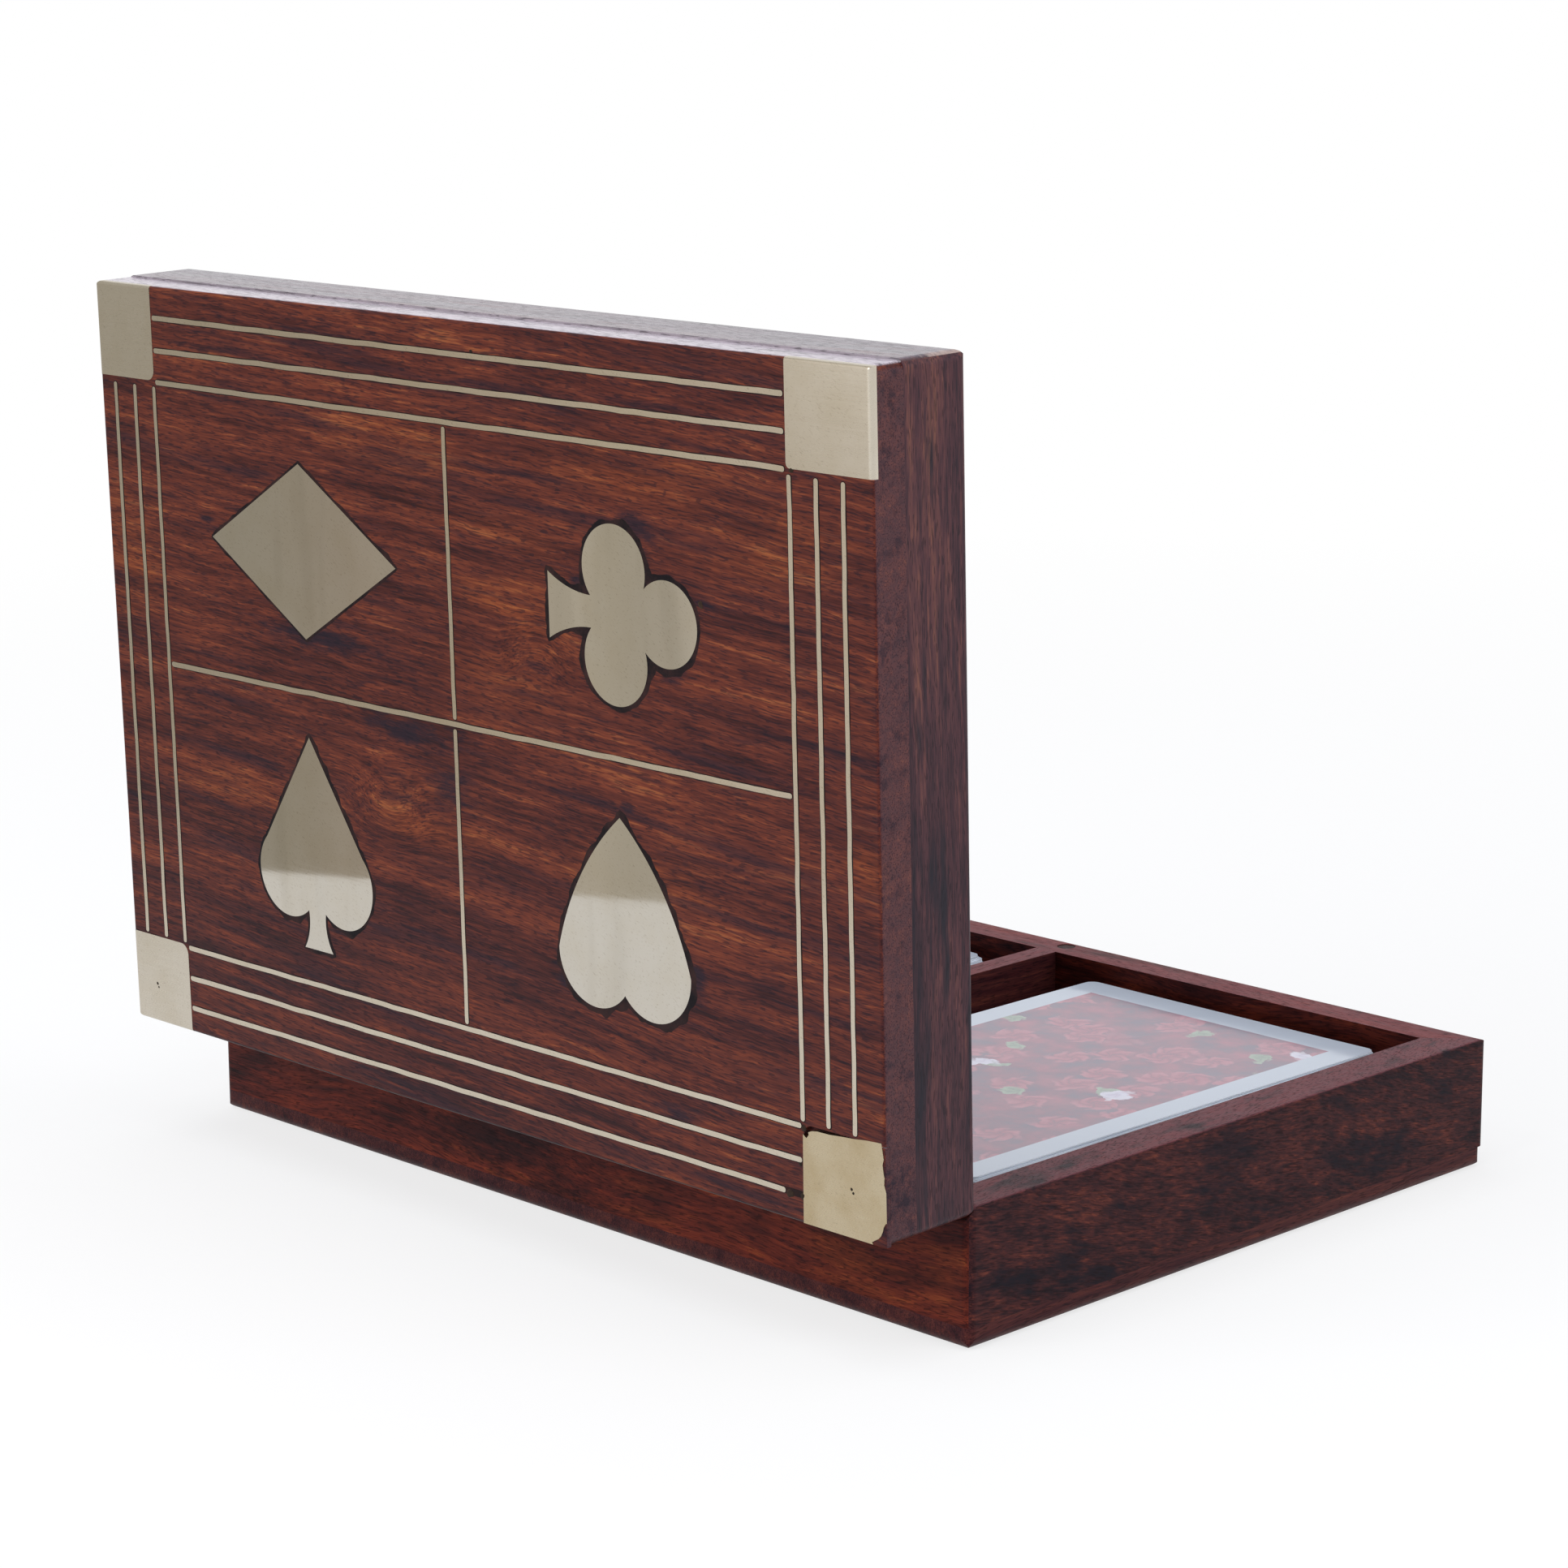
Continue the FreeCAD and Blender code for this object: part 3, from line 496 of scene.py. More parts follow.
def inlay_brass(name, colour, tarnish, bloom, satin, ripple=0.0, reflected_bands=0.0):
    """Sheet brass, let in, filed flush and rubbed with fine paper.

    To the eye: pale champagne metal with soft reflections, a faint brown bloom in patches, and
    fine rubbing lines along the box with a few deeper scratches across them."""
    material, add = new_material(name)
    place = add("TexCoord", out="Object")
    patches = add("TexNoise", {"Vector": place, "Scale": 1 / (8 * MM), "Detail": 4.0,
                               "Roughness": 0.6})
    bloomed = add("MapRange", [patches, 0.42, 0.68, 0.0, bloom])
    # Rubbing lines, drawn wide enough to show.
    rubbed = figure(add, place, (12, 0.3), seed=2.0)
    # Scratches lie a little askew.
    askew = add("Mapping", {"Vector": place, "Rotation": (0, 0.5, 0.2)})
    scored = add("MapRange", [figure(add, askew, (12, 0.12), 0.0, 5.0), 0.70, 0.76, 0.0, 0.22])
    # Painted reflection: soft upright darker bands, as a mirrored surrounding lays them on the
    # sheet.
    upright = add("VectorMath", [place, [1 / (size * MM) for size in (4, 26, 26)]],
                  operation="MULTIPLY")
    bands = add("TexNoise", {"Vector": upright, "Scale": 1.0, "Detail": 1.0})
    burnished = add("MapRange", [bands, 0.48, 0.72, 0.0, reflected_bands], interpolation_type="SMOOTHSTEP")
    layers = [(bloomed, tarnish), (scored, "#6b5d45"), (burnished, "#6f6653")]
    coat(add, {"Base Color": overlaid(add, colour, layers), "Metallic": 1.0,
               "Roughness": add("MapRange", [rubbed, 0.3, 0.7, *satin])}, rubbed, ripple, 0.02)
    return material


def lac_filler(name, colour, light):
    """Black lac filler, run in hot round the inlay and scraped flat.

    To the eye: near-black with a blue cast, dull and slightly granular, and browner where it is
    thin."""
    material, add = new_material(name)
    place = add("TexCoord", out="Object")
    grit, thin = (add("TexNoise", {"Vector": place, "Scale": 1 / (size * MM), "Detail": 2.0})
                  for size in (0.5, 4))
    mixed = add("Math", [grit, 0.4, thin], operation="MULTIPLY_ADD")
    lac = add("ValToRGB", [add("MapRange", [mixed, 0.55, 0.95])],
              stops=[(0.0, colour), (1.0, light)])
    coat(add, {"Base Color": lac, "Roughness": add("MapRange", [grit, 0.3, 0.7, 0.38, 0.6]),
               "IOR": 1.5, "Specular IOR Level": 0.08}, grit, 0.3, 0.05)
    return material


def turned_metal(name, colour, dark, satin):
    """Small drawn and turned metal parts, tumbled and handled.

    To the eye: an even satin metal with a faint darker bloom and fine handling marks."""
    material, add = new_material(name)
    place = add("TexCoord", out="Object")
    bloom = add("TexNoise", {"Vector": place, "Scale": 1 / (2.2 * MM), "Detail": 3.0})
    metal = add("ValToRGB", [bloom], stops=[(0.35, colour), (0.75, dark)])
    marks = figure(add, place, (3, 0.15), 1.0, 4.0)
    coat(add, {"Base Color": metal, "Roughness": add("MapRange", [bloom, 0.3, 0.7, *satin]),
               "Metallic": 1.0}, marks, 0.15, 0.02)
    return material


def card_stock(name, colour, shade):
    """Cut edges of white pasteboard.

    To the eye: blue-white paper whose thin layers are a little greyer here and there."""
    material, add = new_material(name)
    layers = add("VectorMath", [add("TexCoord", out="Object"), (60, 60, 3500)],
                 operation="MULTIPLY")
    grey = add("TexNoise", {"Vector": layers, "Scale": 1.0, "Detail": 2.0})
    paper = add("ValToRGB", [grey], stops=[(0.35, shade), (0.6, colour)])
    dry = add("MapRange", [grey, 0.3, 0.7, 0.5, 0.65])
    shader = add("BsdfPrincipled", {"Base Color": paper, "Roughness": dry, "IOR": 1.45})
    add("OutputMaterial", [shader], None)
    return material


# Kinds of printed flower: size beside a blossom's, petals, the first and last of the cells that
# bear it, and its tones. A tone is a colour or the name of a setting.
FLOWERS = (
    (1.0, 2.5, 0.0, 0.68, ("#5f1a27", "print_red", "print_pink")),
    (0.62, 1.5, 0.87, 1.0, ("#5f7a55", "#86a277", "#a4bb94")),
    (0.75, 1.0, 0.94, 1.0, ("#c9bfd2", "#e3e2ee", "#f1f1f7")),
)


def painted_flower(add, place, size, petals, first, last, tones):
    """Flowers in their own cells, as a layer: petals turn round each cell's middle."""
    cell = add("TexVoronoi", {"Vector": place, "Scale": MM / size, "Randomness": 0.9}, None,
               voronoi_dimensions="2D")
    # The cell's middle is given in the pattern's own millimetres.
    local = add("VectorMath", [place, cell["Position"]], operation="SUBTRACT")
    axes = add("SeparateXYZ", [local], None)
    which = add("SeparateColor", [cell["Color"]], None)
    angle = add("Math", [axes["Y"], axes["X"]], operation="ARCTAN2")
    angle = add("Math", [which["Green"], 6.28, angle], operation="MULTIPLY_ADD")
    # Petals wind inwards, so that a rose shows turn after turn.
    angle = add("Math", [angle, petals], operation="MULTIPLY")
    wound = add("Math", [cell["Distance"], 9.0, angle], operation="MULTIPLY_ADD")
    lobes = add("Math", [add("Math", [wound], operation="COSINE")], operation="ABSOLUTE")
    rim = add("Math", [lobes, 0.14, 0.32], operation="MULTIPLY_ADD")
    inside = add("Math", [rim, cell["Distance"]], operation="SUBTRACT")
    # They are darker towards the middle.
    outward = add("MapRange", [cell["Distance"], 0.0, 0.5, 0.0, 0.65])
    light = add("Math", [lobes, 0.35, outward], operation="MULTIPLY_ADD")
    petal = add("ValToRGB", [light], stops=list(zip((0.0, 0.45, 1.0), tones)))
    chosen = [add("MapRange", [which["Red"], *ends])
              for ends in ((first, first + 0.01), (last + 0.01, last))]
    chosen = add("Math", chosen, operation="MULTIPLY")
    shown = add("MapRange", [inside, 0.0, 0.12])
    return add("Math", [chosen, shown], operation="MULTIPLY"), petal


def printed_back(name, centre, turn, card):
    """A glossy laminated card back: a white border round red roses with a few leaves.

    To the eye: a smooth film that mirrors pale light at a low angle and veils the print."""
    material, add = new_material(name)
    # Millimetres from the card's middle, across it and along it.
    moved = add("VectorMath", [add("TexCoord", out="Object"), centre], operation="SUBTRACT")
    squared = add("Mapping", {"Vector": moved, "Rotation": (0, 0, -turn),
                              "Scale": (1 / MM, 1 / MM, 0)})
    parts = add("SeparateXYZ", [squared], None)
    beyond = []
    for part, size, border in ((parts["X"], card.width, card.border),
                               (parts["Y"], card.length, card.end_border)):
        away = add("Math", [part], operation="ABSOLUTE")
        beyond.append(add("Math", [away, (size / 2 - border) / MM], operation="SUBTRACT"))
    field = add("MapRange", [add("Math", beyond, operation="MAXIMUM"), 0.1, -0.1])
    mottled = add("TexNoise", {"Vector": squared, "Scale": 0.2, "Detail": 4.0})
    ground = add("ValToRGB", [mottled],
                 stops=[(0.35, "#4a2a3a"), (0.5, card.print_deep), (0.7, card.print_red)])
    # The flowers' outlines are ragged, as if painted.
    uneven = squared
    for scale, throw, detail in ((0.25, 4, 1.0), (0.9, 1.6, 3.0)):
        crowd = add("TexNoise", {"Vector": squared, "Scale": scale, "Detail": detail}, "Color")
        uneven = add("VectorMath", [crowd, (throw, throw, 0), uneven], operation="MULTIPLY_ADD")
    layers = []
    for share, petals, first, last, tones in FLOWERS:
        tones = [tone if tone.startswith("#") else getattr(card, tone) for tone in tones]
        layers.append(painted_flower(add, uneven, card.blossom * share, petals, first, last, tones))
    # Painted reflection: a pale lilac haze over the print, for the light the glossy film mirrors at
    # a low angle.
    layers.append((card.reflected_haze, "#ccc8de"))
    colour = overlaid(add, card.paper, [(field, overlaid(add, ground, layers))])
    # The film is not quite flat.
    waves = add("TexNoise", {"Vector": squared, "Scale": 0.16, "Detail": 1.0})
    coat(add, {"Base Color": colour, "IOR": 1.5, "Roughness": 0.16}, waves, 0.25, 0.3)
    return material


# ---------------------------------------------------------------- settings


def length(name, description, default):
    """A length setting, in metres."""
    return FloatProperty(name=name, description=description, default=default, unit="LENGTH",
                         subtype="DISTANCE", min=0, precision=5)


def tint(name, description, default):
    """A colour setting, from hex."""
    return FloatVectorProperty(name=name, description=description, default=linear(default),
                               subtype="COLOR", size=3, min=0, max=1)


def power(name, description, default):
    """A light's power, in watts."""
    return FloatProperty(name=name, description=description, default=default, min=0,
                         subtype="POWER")


class CardBoxWood(PropertyGroup):
    """The rosewood's colours, from its darkest streaks to its lightest."""

    lid_dark: tint("Lid dark streak", "Darkest streaks of the lid's panel", "#2a1110")
    lid_deep: tint("Lid deep tone", "Deep red-brown of the lid's panel", "#411c17")
    lid_body: tint("Lid body tone", "Main colour of the lid's panel", "#55261b")
    lid_warm: tint("Lid warm tone", "Warm streaks of the lid's panel", "#6b321f")
    lid_gold: tint("Lid golden tone", "Lightest streaks of the lid's panel", "#874a29")


class CardBoxInlay(PropertyGroup):
    """Sizes and colours of the brass inlay and its filler."""

    line_wander: length("Line wander", "How far a brass line strays from straight", 0.00013)
    groove_margin: length("Groove margin", "How far the filler shows beside a brass line", 0.00012)
    filler_ring: length("Filler ring", "How far the filler spreads round a suit", 0.00082)
    rolled_edge: length("Rolled edge", "Radius of the corner plate's dressed edge", 0.00085)
    old_plate: tint("Old plate brass", "Colour of the torn corner plate", "#b9ab90")
    plate: tint("Plate brass", "Colour of the corner plates", "#c5bdaf")
    suit: tint("Suit brass", "Colour of the four suits", "#c2bcb1")
    line: tint("Line brass", "Colour of the brass lines", "#c3b9a9")
    tarnish: tint("Tarnish", "Bloom on the brass", "#b0a48b")


class CardBoxCards(PropertyGroup):
    """The packs of cards."""

    count: IntProperty(name="Cards", description="Cards under the top card of each pack",
                       default=52, min=1, max=80)
    width: length("Card width", "Width of a card", 0.05715)
    length: length("Card length", "Length of a card", 0.0889)
    radius: length("Corner radius", "Radius of a card's corners", 0.0016)
    border: length("Side border", "Width of the white border along the long sides", 0.0047)
    end_border: length("End border", "Width of the white border along the short ends", 0.0055)
    blossom: length("Blossom", "Size of a printed rose", 0.0085)
    # Painted reflection: how much pale haze lies over the print.
    reflected_haze: FloatProperty(name="Veil", description="How milky the film over the print is",
                        default=0.34, min=0, max=1, subtype="FACTOR")
    slip: length("Slip", "How far a card may lie out of line", 0.00022)
    lift: length("Lift", "How far the top card's long sides curl up", 0.00004)
    fan: length("Fan", "How far the cards just under the top card stick out on the left", 0.00035)
    paper: tint("Paper", "White of the cards", "#cad3df")
    print_deep: tint("Crimson", "Darkest red of the printed back", "#741a26")
    print_red: tint("Red", "Main red of the printed back", "#a32a35")
    print_pink: tint("Rose", "Pink of the printed back", "#c9686c")


class CardBoxStage(PropertyGroup):
    """The floor, the lights and the camera."""

    lens: FloatProperty(name="Lens", description="Focal length", default=95.9, min=10,
                        unit="CAMERA")
    ambient: FloatProperty(name="Ambient light", description="Strength of the world's even light",
                           default=0.42, min=0)
    overhead: power("Overhead light", "Power of the softbox above", 8.0)
    key: power("Key light", "Power of the softbox at the lid's face", 13.0)
    fill: power("Fill light", "Power of the softbox at the box's end", 8.0)
    floor: tint("Floor", "Colour of the floor", "#f4f4f4")


SETTINGS = {
    "card_box_wood": CardBoxWood,
    "card_box_inlay": CardBoxInlay,
    "card_box_cards": CardBoxCards,
    "card_box_stage": CardBoxStage,
}


# ---------------------------------------------------------------- operators


def through(y, depth, *patches):
    """Patches that go right through a board that faces front or back.

    Each is across, up, half its width and half its height, in mm."""
    return [((x, y, z), (wide, depth, high)) for x, z, wide, high in patches]


class CARDBOX_OT_woodwork(Operator):
    """Finish the base, the divider and the lid in waxed rosewood"""

    bl_idname = "cardbox.woodwork"
    bl_label = "Rosewood"

    def execute(self, context):
        wood = context.scene.card_box_wood
        self.lid([wood.lid_dark, wood.lid_deep, wood.lid_body, wood.lid_warm, wood.lid_gold])
        self.base()
        return {"FINISHED"}

    def lid(self, tones):
        """The lid's panel, figured and flamed, and its plainer rails."""
        flame = through(75, 40, (-10, 93, 22, 20), (-38, 114, 30, 7), (12, 112, 26, 9),
                        (-62, 108, 20, 8), (56, 57, 18, 7), (8, 60, 20, 9), (75, 91, 10, 14),
                        (-77, 68, 5, 7), (-36, 60, 26, 7))
        stains = through(75, 40, (11, 73, 20, 4), (3, 66, 9, 6), (-42, 28, 9, 2.2),
                         (-36, 107, 9, 4), (30, 84, 30, 3), (-79, 25, 3, 9))
        # Lac has soaked in beside the suits.
        soaked = through(75, 40, (-36.5, 104, 3.5, 4), (-24.8, 98.5, 3, 2.5), (-49, 98.8, 3, 1),
                         (-43, 88.5, 5, 2.2), (-25.8, 92, 2.5, 2.5), (56, 98.7, 3, 0.8),
                         (-46, 47, 3, 5), (-20, 44, 4, 5), (24, 50, 3, 6), (-33, 69, 3, 2))
        finish_nodes(
            rosewood("rosewood_lid_panel_waxed", "x falling", (0, 40, 13), tones, vein=0.55,
                     line=0.55, flame=flame, flame_strength=0.5, stains=stains + soaked,
                     swirls=[((17, 75, 61), (12, 40, 9), 2.2), ((-16, 75, 88), (9, 40, 7), -1.6)],
                     dim=through(75, 40, (34, 82, 28, 9), (8, 82, 16, 12), (-16, 84, 9, 9)),
                     # Painted light: grey-blue reflected haze on the panel's ends, pale lilac glare
                     # on its upward edge and painted shade on its lower arris.
                     faces=[(LEFT, "#5a4145", 0.55), (RIGHT, "#5a4145", 0.55),
                            (UP, "#cdc3cd", 0.82), (LOWER_ARRIS, "#26130f", 0.8)],
                     shade=("Z", 62, 40, 0.02), polish=("Z", 0.26), vein_colour="#181420",
                     pore_colour="#130e17"),
            "lid_panel")
        rails = ["#20131a", "#341c20", "#46272a", "#5b3532", "#734738"]
        finish_nodes(
            rosewood("rosewood_lid_rails_waxed", "x", (31, 8, 0), rails, vein=0.6, gloss=0.5,
                     polish=("Z", 0.22), worn=[((-79.6, 61, 132.5), (2.6, 10, 1.6))],
                     # Painted reflection: pale lilac grey on the faces turned seamward and up, for
                     # the glare they catch at a low angle.
                     faces=[(SEAMWARD, "#a89fa5", 0.85), (UP, "#857a90", 0.3)]),
            "lid_front_wall")
        warm = ["#22100f", "#3a1a17", "#50251e", "#663122", "#7f4228"]
        finish_nodes(
            rosewood("rosewood_lid_back_rail_waxed", "x", (44, 8, 21), warm, vein=0.6,
                     vein_colour="#1b0f12", gloss=0.1),
            "lid_back_wall")
        finish_nodes(
            rosewood("rosewood_lid_ends_waxed", "lid end", (0, 5, 77), rails, vein=0.9,
                     vein_marks=(26, 3.0), vein_colour="#17141b", gloss=0.26,
                     shade=("Z", 95, 60, 0.03)),
            "lid_left_wall", "lid_right_wall")

    def base(self):
        """The base's coarser rails and slanting ends, its divider and its bottom."""
        back = ["#230f0e", "#3d1713", "#572219", "#6e2d1d", "#894424"]
        finish_nodes(
            rosewood("rosewood_base_rails_waxed", "x", (12, 3, 50), back, vein=0.6, bend=5.0,
                     vein_colour="#1d0d0f", vein_marks=(22, 4.5), bands=(24, 7),
                     weights=(0.45, 0.32, 0.23), contrast=(0.35, 0.65), gloss=0.08,
                     # Painted highlight: the upward rims take a pale rose for the light they catch
                     # from above.
                     faces=[(UP, "#8c444c", 0.5)],
                     flame=through(57, 9, (-60, 8, 22, 8), (-75, 9, 7, 7), (-16, 6, 12, 5)),
                     flame_tones=("#3f1a10", "#74351b", "#98562a"), flame_strength=0.7,
                     stains=through(57, 9, (17, 8, 30, 9), (2, 4, 13, 8))),
            "base_back_wall", "base_front_wall")
        ends = ["#181015", "#2a1719", "#3c1f1f", "#502823", "#683529"]
        finish_nodes(
            rosewood("rosewood_base_ends_waxed", "slanting", (5, 22, 9), ends, vein=0.85,
                     bend=4.0, bands=(17, 6), streaks=(3.4, 0.75), fibres=(1.6, 0.3), line=0.3,
                     weights=(0.32, 0.38, 0.30), vein_marks=(11, 5.5), vein_colour="#12121a",
                     # Painted highlight: the upward rims take a pale rose for the light they catch
                     # from above.
                     faces=[(UP, "#864750", 0.5)], gloss=0.08,
                     stains=[((-80, -27, 9), (9, 17, 5)), ((-80, 37, 8), (9, 8, 9)),
                             ((-80, 2, 14), (9, 8, 8)), ((-76, 44, 19.7), (3, 13, 1.5))]),
            "base_left_wall", "base_right_wall")
        quiet = ["#240f11", "#351619", "#44201f", "#522823", "#633329"]
        finish_nodes(
            rosewood("rosewood_bottom_waxed", "y", (40, 2, 9), quiet, vein=0.3, gloss=0.1),
            "base_bottom_panel")
        finish_nodes(
            rosewood("rosewood_divider_waxed", "y", (9, 52, 19), quiet, vein=0.2,
                     # Painted highlight: the upward rim takes a pale rose for the light it catches
                     # from above.
                     faces=[(UP, "#8c444c", 0.5)], gloss=0.08),
            "compartment_divider")


LINES = [f"line_{side}_{row}" for side in ("front", "back", "left", "right")
         for row in ("outer", "middle", "inner")] + ["cross_long", "cross_front", "cross_back"]
# Where a brass line stops short of its groove's end, on the left: the rest is filled.
SHORT_LINES = {"line_back_outer": 3.2 * MM}
# A brass line's waver, long and short, and its bed's: a share of the setting, and a spacing.
LINE_WAVES = ((1.6, 6.0 * MM), (0.4, 1.6 * MM))
BED_WAVES = (1.1, 1.9 * MM)
CUT_SPACING = 1.1 * MM
LINE_END, BED_END = 0.32 * MM, 0.45 * MM
BED_DEPTH, BED_RISE = 0.3 * MM, 0.015 * MM


class CARDBOX_OT_lines(Operator):
    """Lay the brass lines into their grooves, with filler beside them"""

    bl_idname = "cardbox.lines"
    bl_label = "Brass lines"

    def execute(self, context):
        inlay = context.scene.card_box_inlay
        brass = inlay_brass("brass_strip_rubbed", inlay.line, inlay.tarnish, 0.25, (0.23, 0.27))
        margin = Vector((inlay.groove_margin, inlay.groove_margin, 0))
        beds = []
        for name in LINES:
            low, high = closed_box(name)
            along = 0 if high.x - low.x > high.y - low.y else 1
            sideways = "YX"[along]
            cuts = round((high[along] - low[along]) / CUT_SPACING)
            bed_low, bed_high = low - margin, high + margin
            bed_low.z, bed_high.z = LID_FACE - BED_DEPTH, LID_FACE + BED_RISE
            beds.append(strip(f"bed_{name}", bed_low, bed_high, along, cuts, BED_END))
            roughen(beds[-1], sideways, inlay.line_wander * BED_WAVES[0], BED_WAVES[1])
            low.x += SHORT_LINES.get(name, 0.0)
            line = strip(f"brass_{name}", low, high, along, cuts, LINE_END)
            for share, spacing in LINE_WAVES:
                roughen(line, sideways, inlay.line_wander * share, spacing)
            settle(line, "lid", brass, (name,))
        filler = lac_filler("lac_filler_in_grooves", "#150f12", "#2b1917")
        settle(join("lac_beside_lines", beds), "lid", filler, smooth=None)
        return {"FINISHED"}


# How wide the filler runs round each suit, as a share of the widest.
FILLER_WIDTHS = {"diamond": 0.48, "club": 0.75, "spade": 0.62, "heart": 0.9}
# Where the filler round a suit spreads wide, on the closed lid: across, along and how far, in mm.
FILLER_SPREADS = {
    "diamond": [(57.7, -23.1, 0.8), (56.6, -22.9, 0.7), (15.3, -22.5, 0.5), (52.0, -19.6, 0.4)],
    "club": [(-33.6, -31.2, 0.8), (-35.8, -29.4, 0.9), (-36.9, -27.4, 0.9), (-37.7, -25.5, 1.0),
             (-38.9, -25.5, 0.6), (-24.6, -23.5, 1.0), (-25.5, -22.8, 0.9), (-25.6, -16.9, 1.0),
             (-25.0, -14.5, 0.9), (-25.3, -12.4, 0.8), (-26.2, -10.4, 0.6), (-37.4, -13.9, 1.2),
             (-38.8, -13.5, 0.8), (-41.2, -13.8, 0.7), (-43.9, -14.5, 0.7), (-46.1, -16.2, 0.5),
             (-47.9, -23.2, 0.7), (-48.7, -23.3, 0.4)],
    "spade": [(33.7, 7.9, 0.5), (31.7, 10.8, 0.5), (28.8, 13.7, 0.7), (26.6, 16.3, 0.9),
              (25.4, 17.9, 0.8), (24.3, 19.6, 0.7), (22.2, 27.4, 0.6), (27.2, 34.0, 0.7),
              (42.3, 34.3, 0.5), (39.2, 34.0, 0.7), (36.2, 33.5, 0.6)],
    "heart": [(-17.3, 30.8, 1.0), (-21.6, 35.0, 0.8), (-24.3, 35.7, 0.8), (-27.0, 35.5, 0.7),
              (-30.7, 33.8, 1.0), (-44.2, 30.3, 0.7), (-42.6, 33.0, 0.7), (-40.0, 34.9, 0.7),
              (-44.8, 26.8, 0.6), (-32.1, 7.4, 0.6), (-37.5, 12.1, 0.5), (-40.0, 15.6, 0.5),
              (-42.7, 19.0, 0.6)],
}
SPREAD_REACH = 2.2 * MM
# How much of its height the filler keeps when it is pressed flat.
PRESSED = 0.018


class CARDBOX_OT_suits(Operator):
    """Finish the four suits and run the filler round them"""

    bl_idname = "cardbox.suits"
    bl_label = "Card suits"

    def execute(self, context):
        inlay = context.scene.card_box_inlay
        # The suits' brass carries painted upright reflection bands.
        brass = inlay_brass("brass_sheet_suits_polished", inlay.suit, inlay.tarnish, 0.2,
                            (0.035, 0.06), ripple=0.01, reflected_bands=0.09)
        filler = lac_filler("lac_filler_round_suits", "#120e12", "#33201f")
        finish_nodes(filler, "suit_filler")
        for suit, swells in FILLER_SPREADS.items():
            finish_nodes(brass, f"{suit}_inlay")
            ring = self.ring(suit, inlay.filler_ring * FILLER_WIDTHS[suit], swells)
            settle(join(f"lac_round_{suit}", [ring]), "lid", filler)
        return {"FINISHED"}

    def ring(self, suit, spread, swells):
        """Filler squeezed out along a suit's outline, wider here and narrower there."""
        ring = shut_copy(f"{suit}_ring", f"{suit}_inlay")
        edit(ring)
        pick(ring, "FACE", lambda f: f.normal.z > ALIGNED)
        bpy.ops.mesh.region_to_loop()
        form = bmesh.from_edit_mesh(ring.data)
        outline = {e.index for e in form.edges if e.select}
        pick(ring, "EDGE", lambda e: e.index not in outline)
        bpy.ops.mesh.delete(type="EDGE")
        for _ in range(6):
            pick(ring, "EDGE", lambda e: e.calc_length() > 0.5 * MM)
            bpy.ops.mesh.subdivide(number_cuts=1)
        bpy.ops.object.mode_set(mode="OBJECT")
        bpy.ops.object.convert(target="CURVE")
        curve = bpy.context.object.data
        # With a bevel one millimetre deep, each point's radius is in millimetres.
        curve.bevel_depth = MM
        curve.bevel_resolution = 1
        for point in curve.splines[0].points:
            place = point.co.xyz
            uneven = noise.noise(place / (2.6 * MM)) + 0.5 * noise.noise(place / (0.9 * MM))
            point.radius = spread / MM * (1.0 + 0.7 * uneven)
            for x, y, extra in swells:
                away = (place.xy - Vector((x, y)) * MM).length / SPREAD_REACH
                point.radius += extra * max(0.0, 1.0 - away) ** 1.6
        bpy.ops.object.convert(target="MESH")
        ring = bpy.context.object
        # It stands above the face but stays under the brass's own top.
        ring.data.transform(Matrix.Translation((0, 0, LID_FACE))
                            @ Matrix.Scale(PRESSED, 4, (0, 0, 1))
                            @ Matrix.Translation((0, 0, -INLAY_TOP)))
        return ring


# The back left plate's torn outline, on the closed lid, in mm.
TORN_PLATE = (
    (-64.98, 57.06), (-65.16, 44.80), (-65.79, 45.25), (-66.24, 44.72), (-66.15, 44.36),
    (-66.78, 44.09), (-67.77, 43.91), (-70.11, 43.86), (-72.27, 43.64), (-74.52, 43.46),
    (-76.68, 43.19), (-79.38, 43.01), (-79.56, 44.09), (-79.74, 45.16), (-79.52, 45.88),
    (-79.65, 46.77), (-79.79, 47.67), (-79.74, 48.56), (-79.92, 49.63), (-79.92, 53.75),
    (-79.56, 54.28), (-79.38, 54.91), (-79.02, 55.63), (-78.57, 56.08), (-77.94, 56.44),
    (-77.40, 56.79), (-77.58, 57.06),
)
# Drops of filler on the closed lid: across, along and radius, in mm.
LAC_MARKS = (
    (75.3, 51.0, 0.42), (75.1, 51.6, 0.28), (-73.9, 50.4, 0.34), (-74.2, 50.9, 0.30),
    (-4.7, -52.8, 0.30), (-65.3, 44.0, 0.45), (-48.5, -23.3, 0.55), (-62.6, 53.5, 0.62),
    (-64.9, 53.4, 0.42), (-64.6, 49.0, 0.35), (-65.6, -42.6, 0.40),
)
MARK_RISE, MARK_DEPTH = 0.015 * MM, 0.06 * MM
# How near to a plate's side an edge lies to count as on it.
NEAR = 0.1 * MM


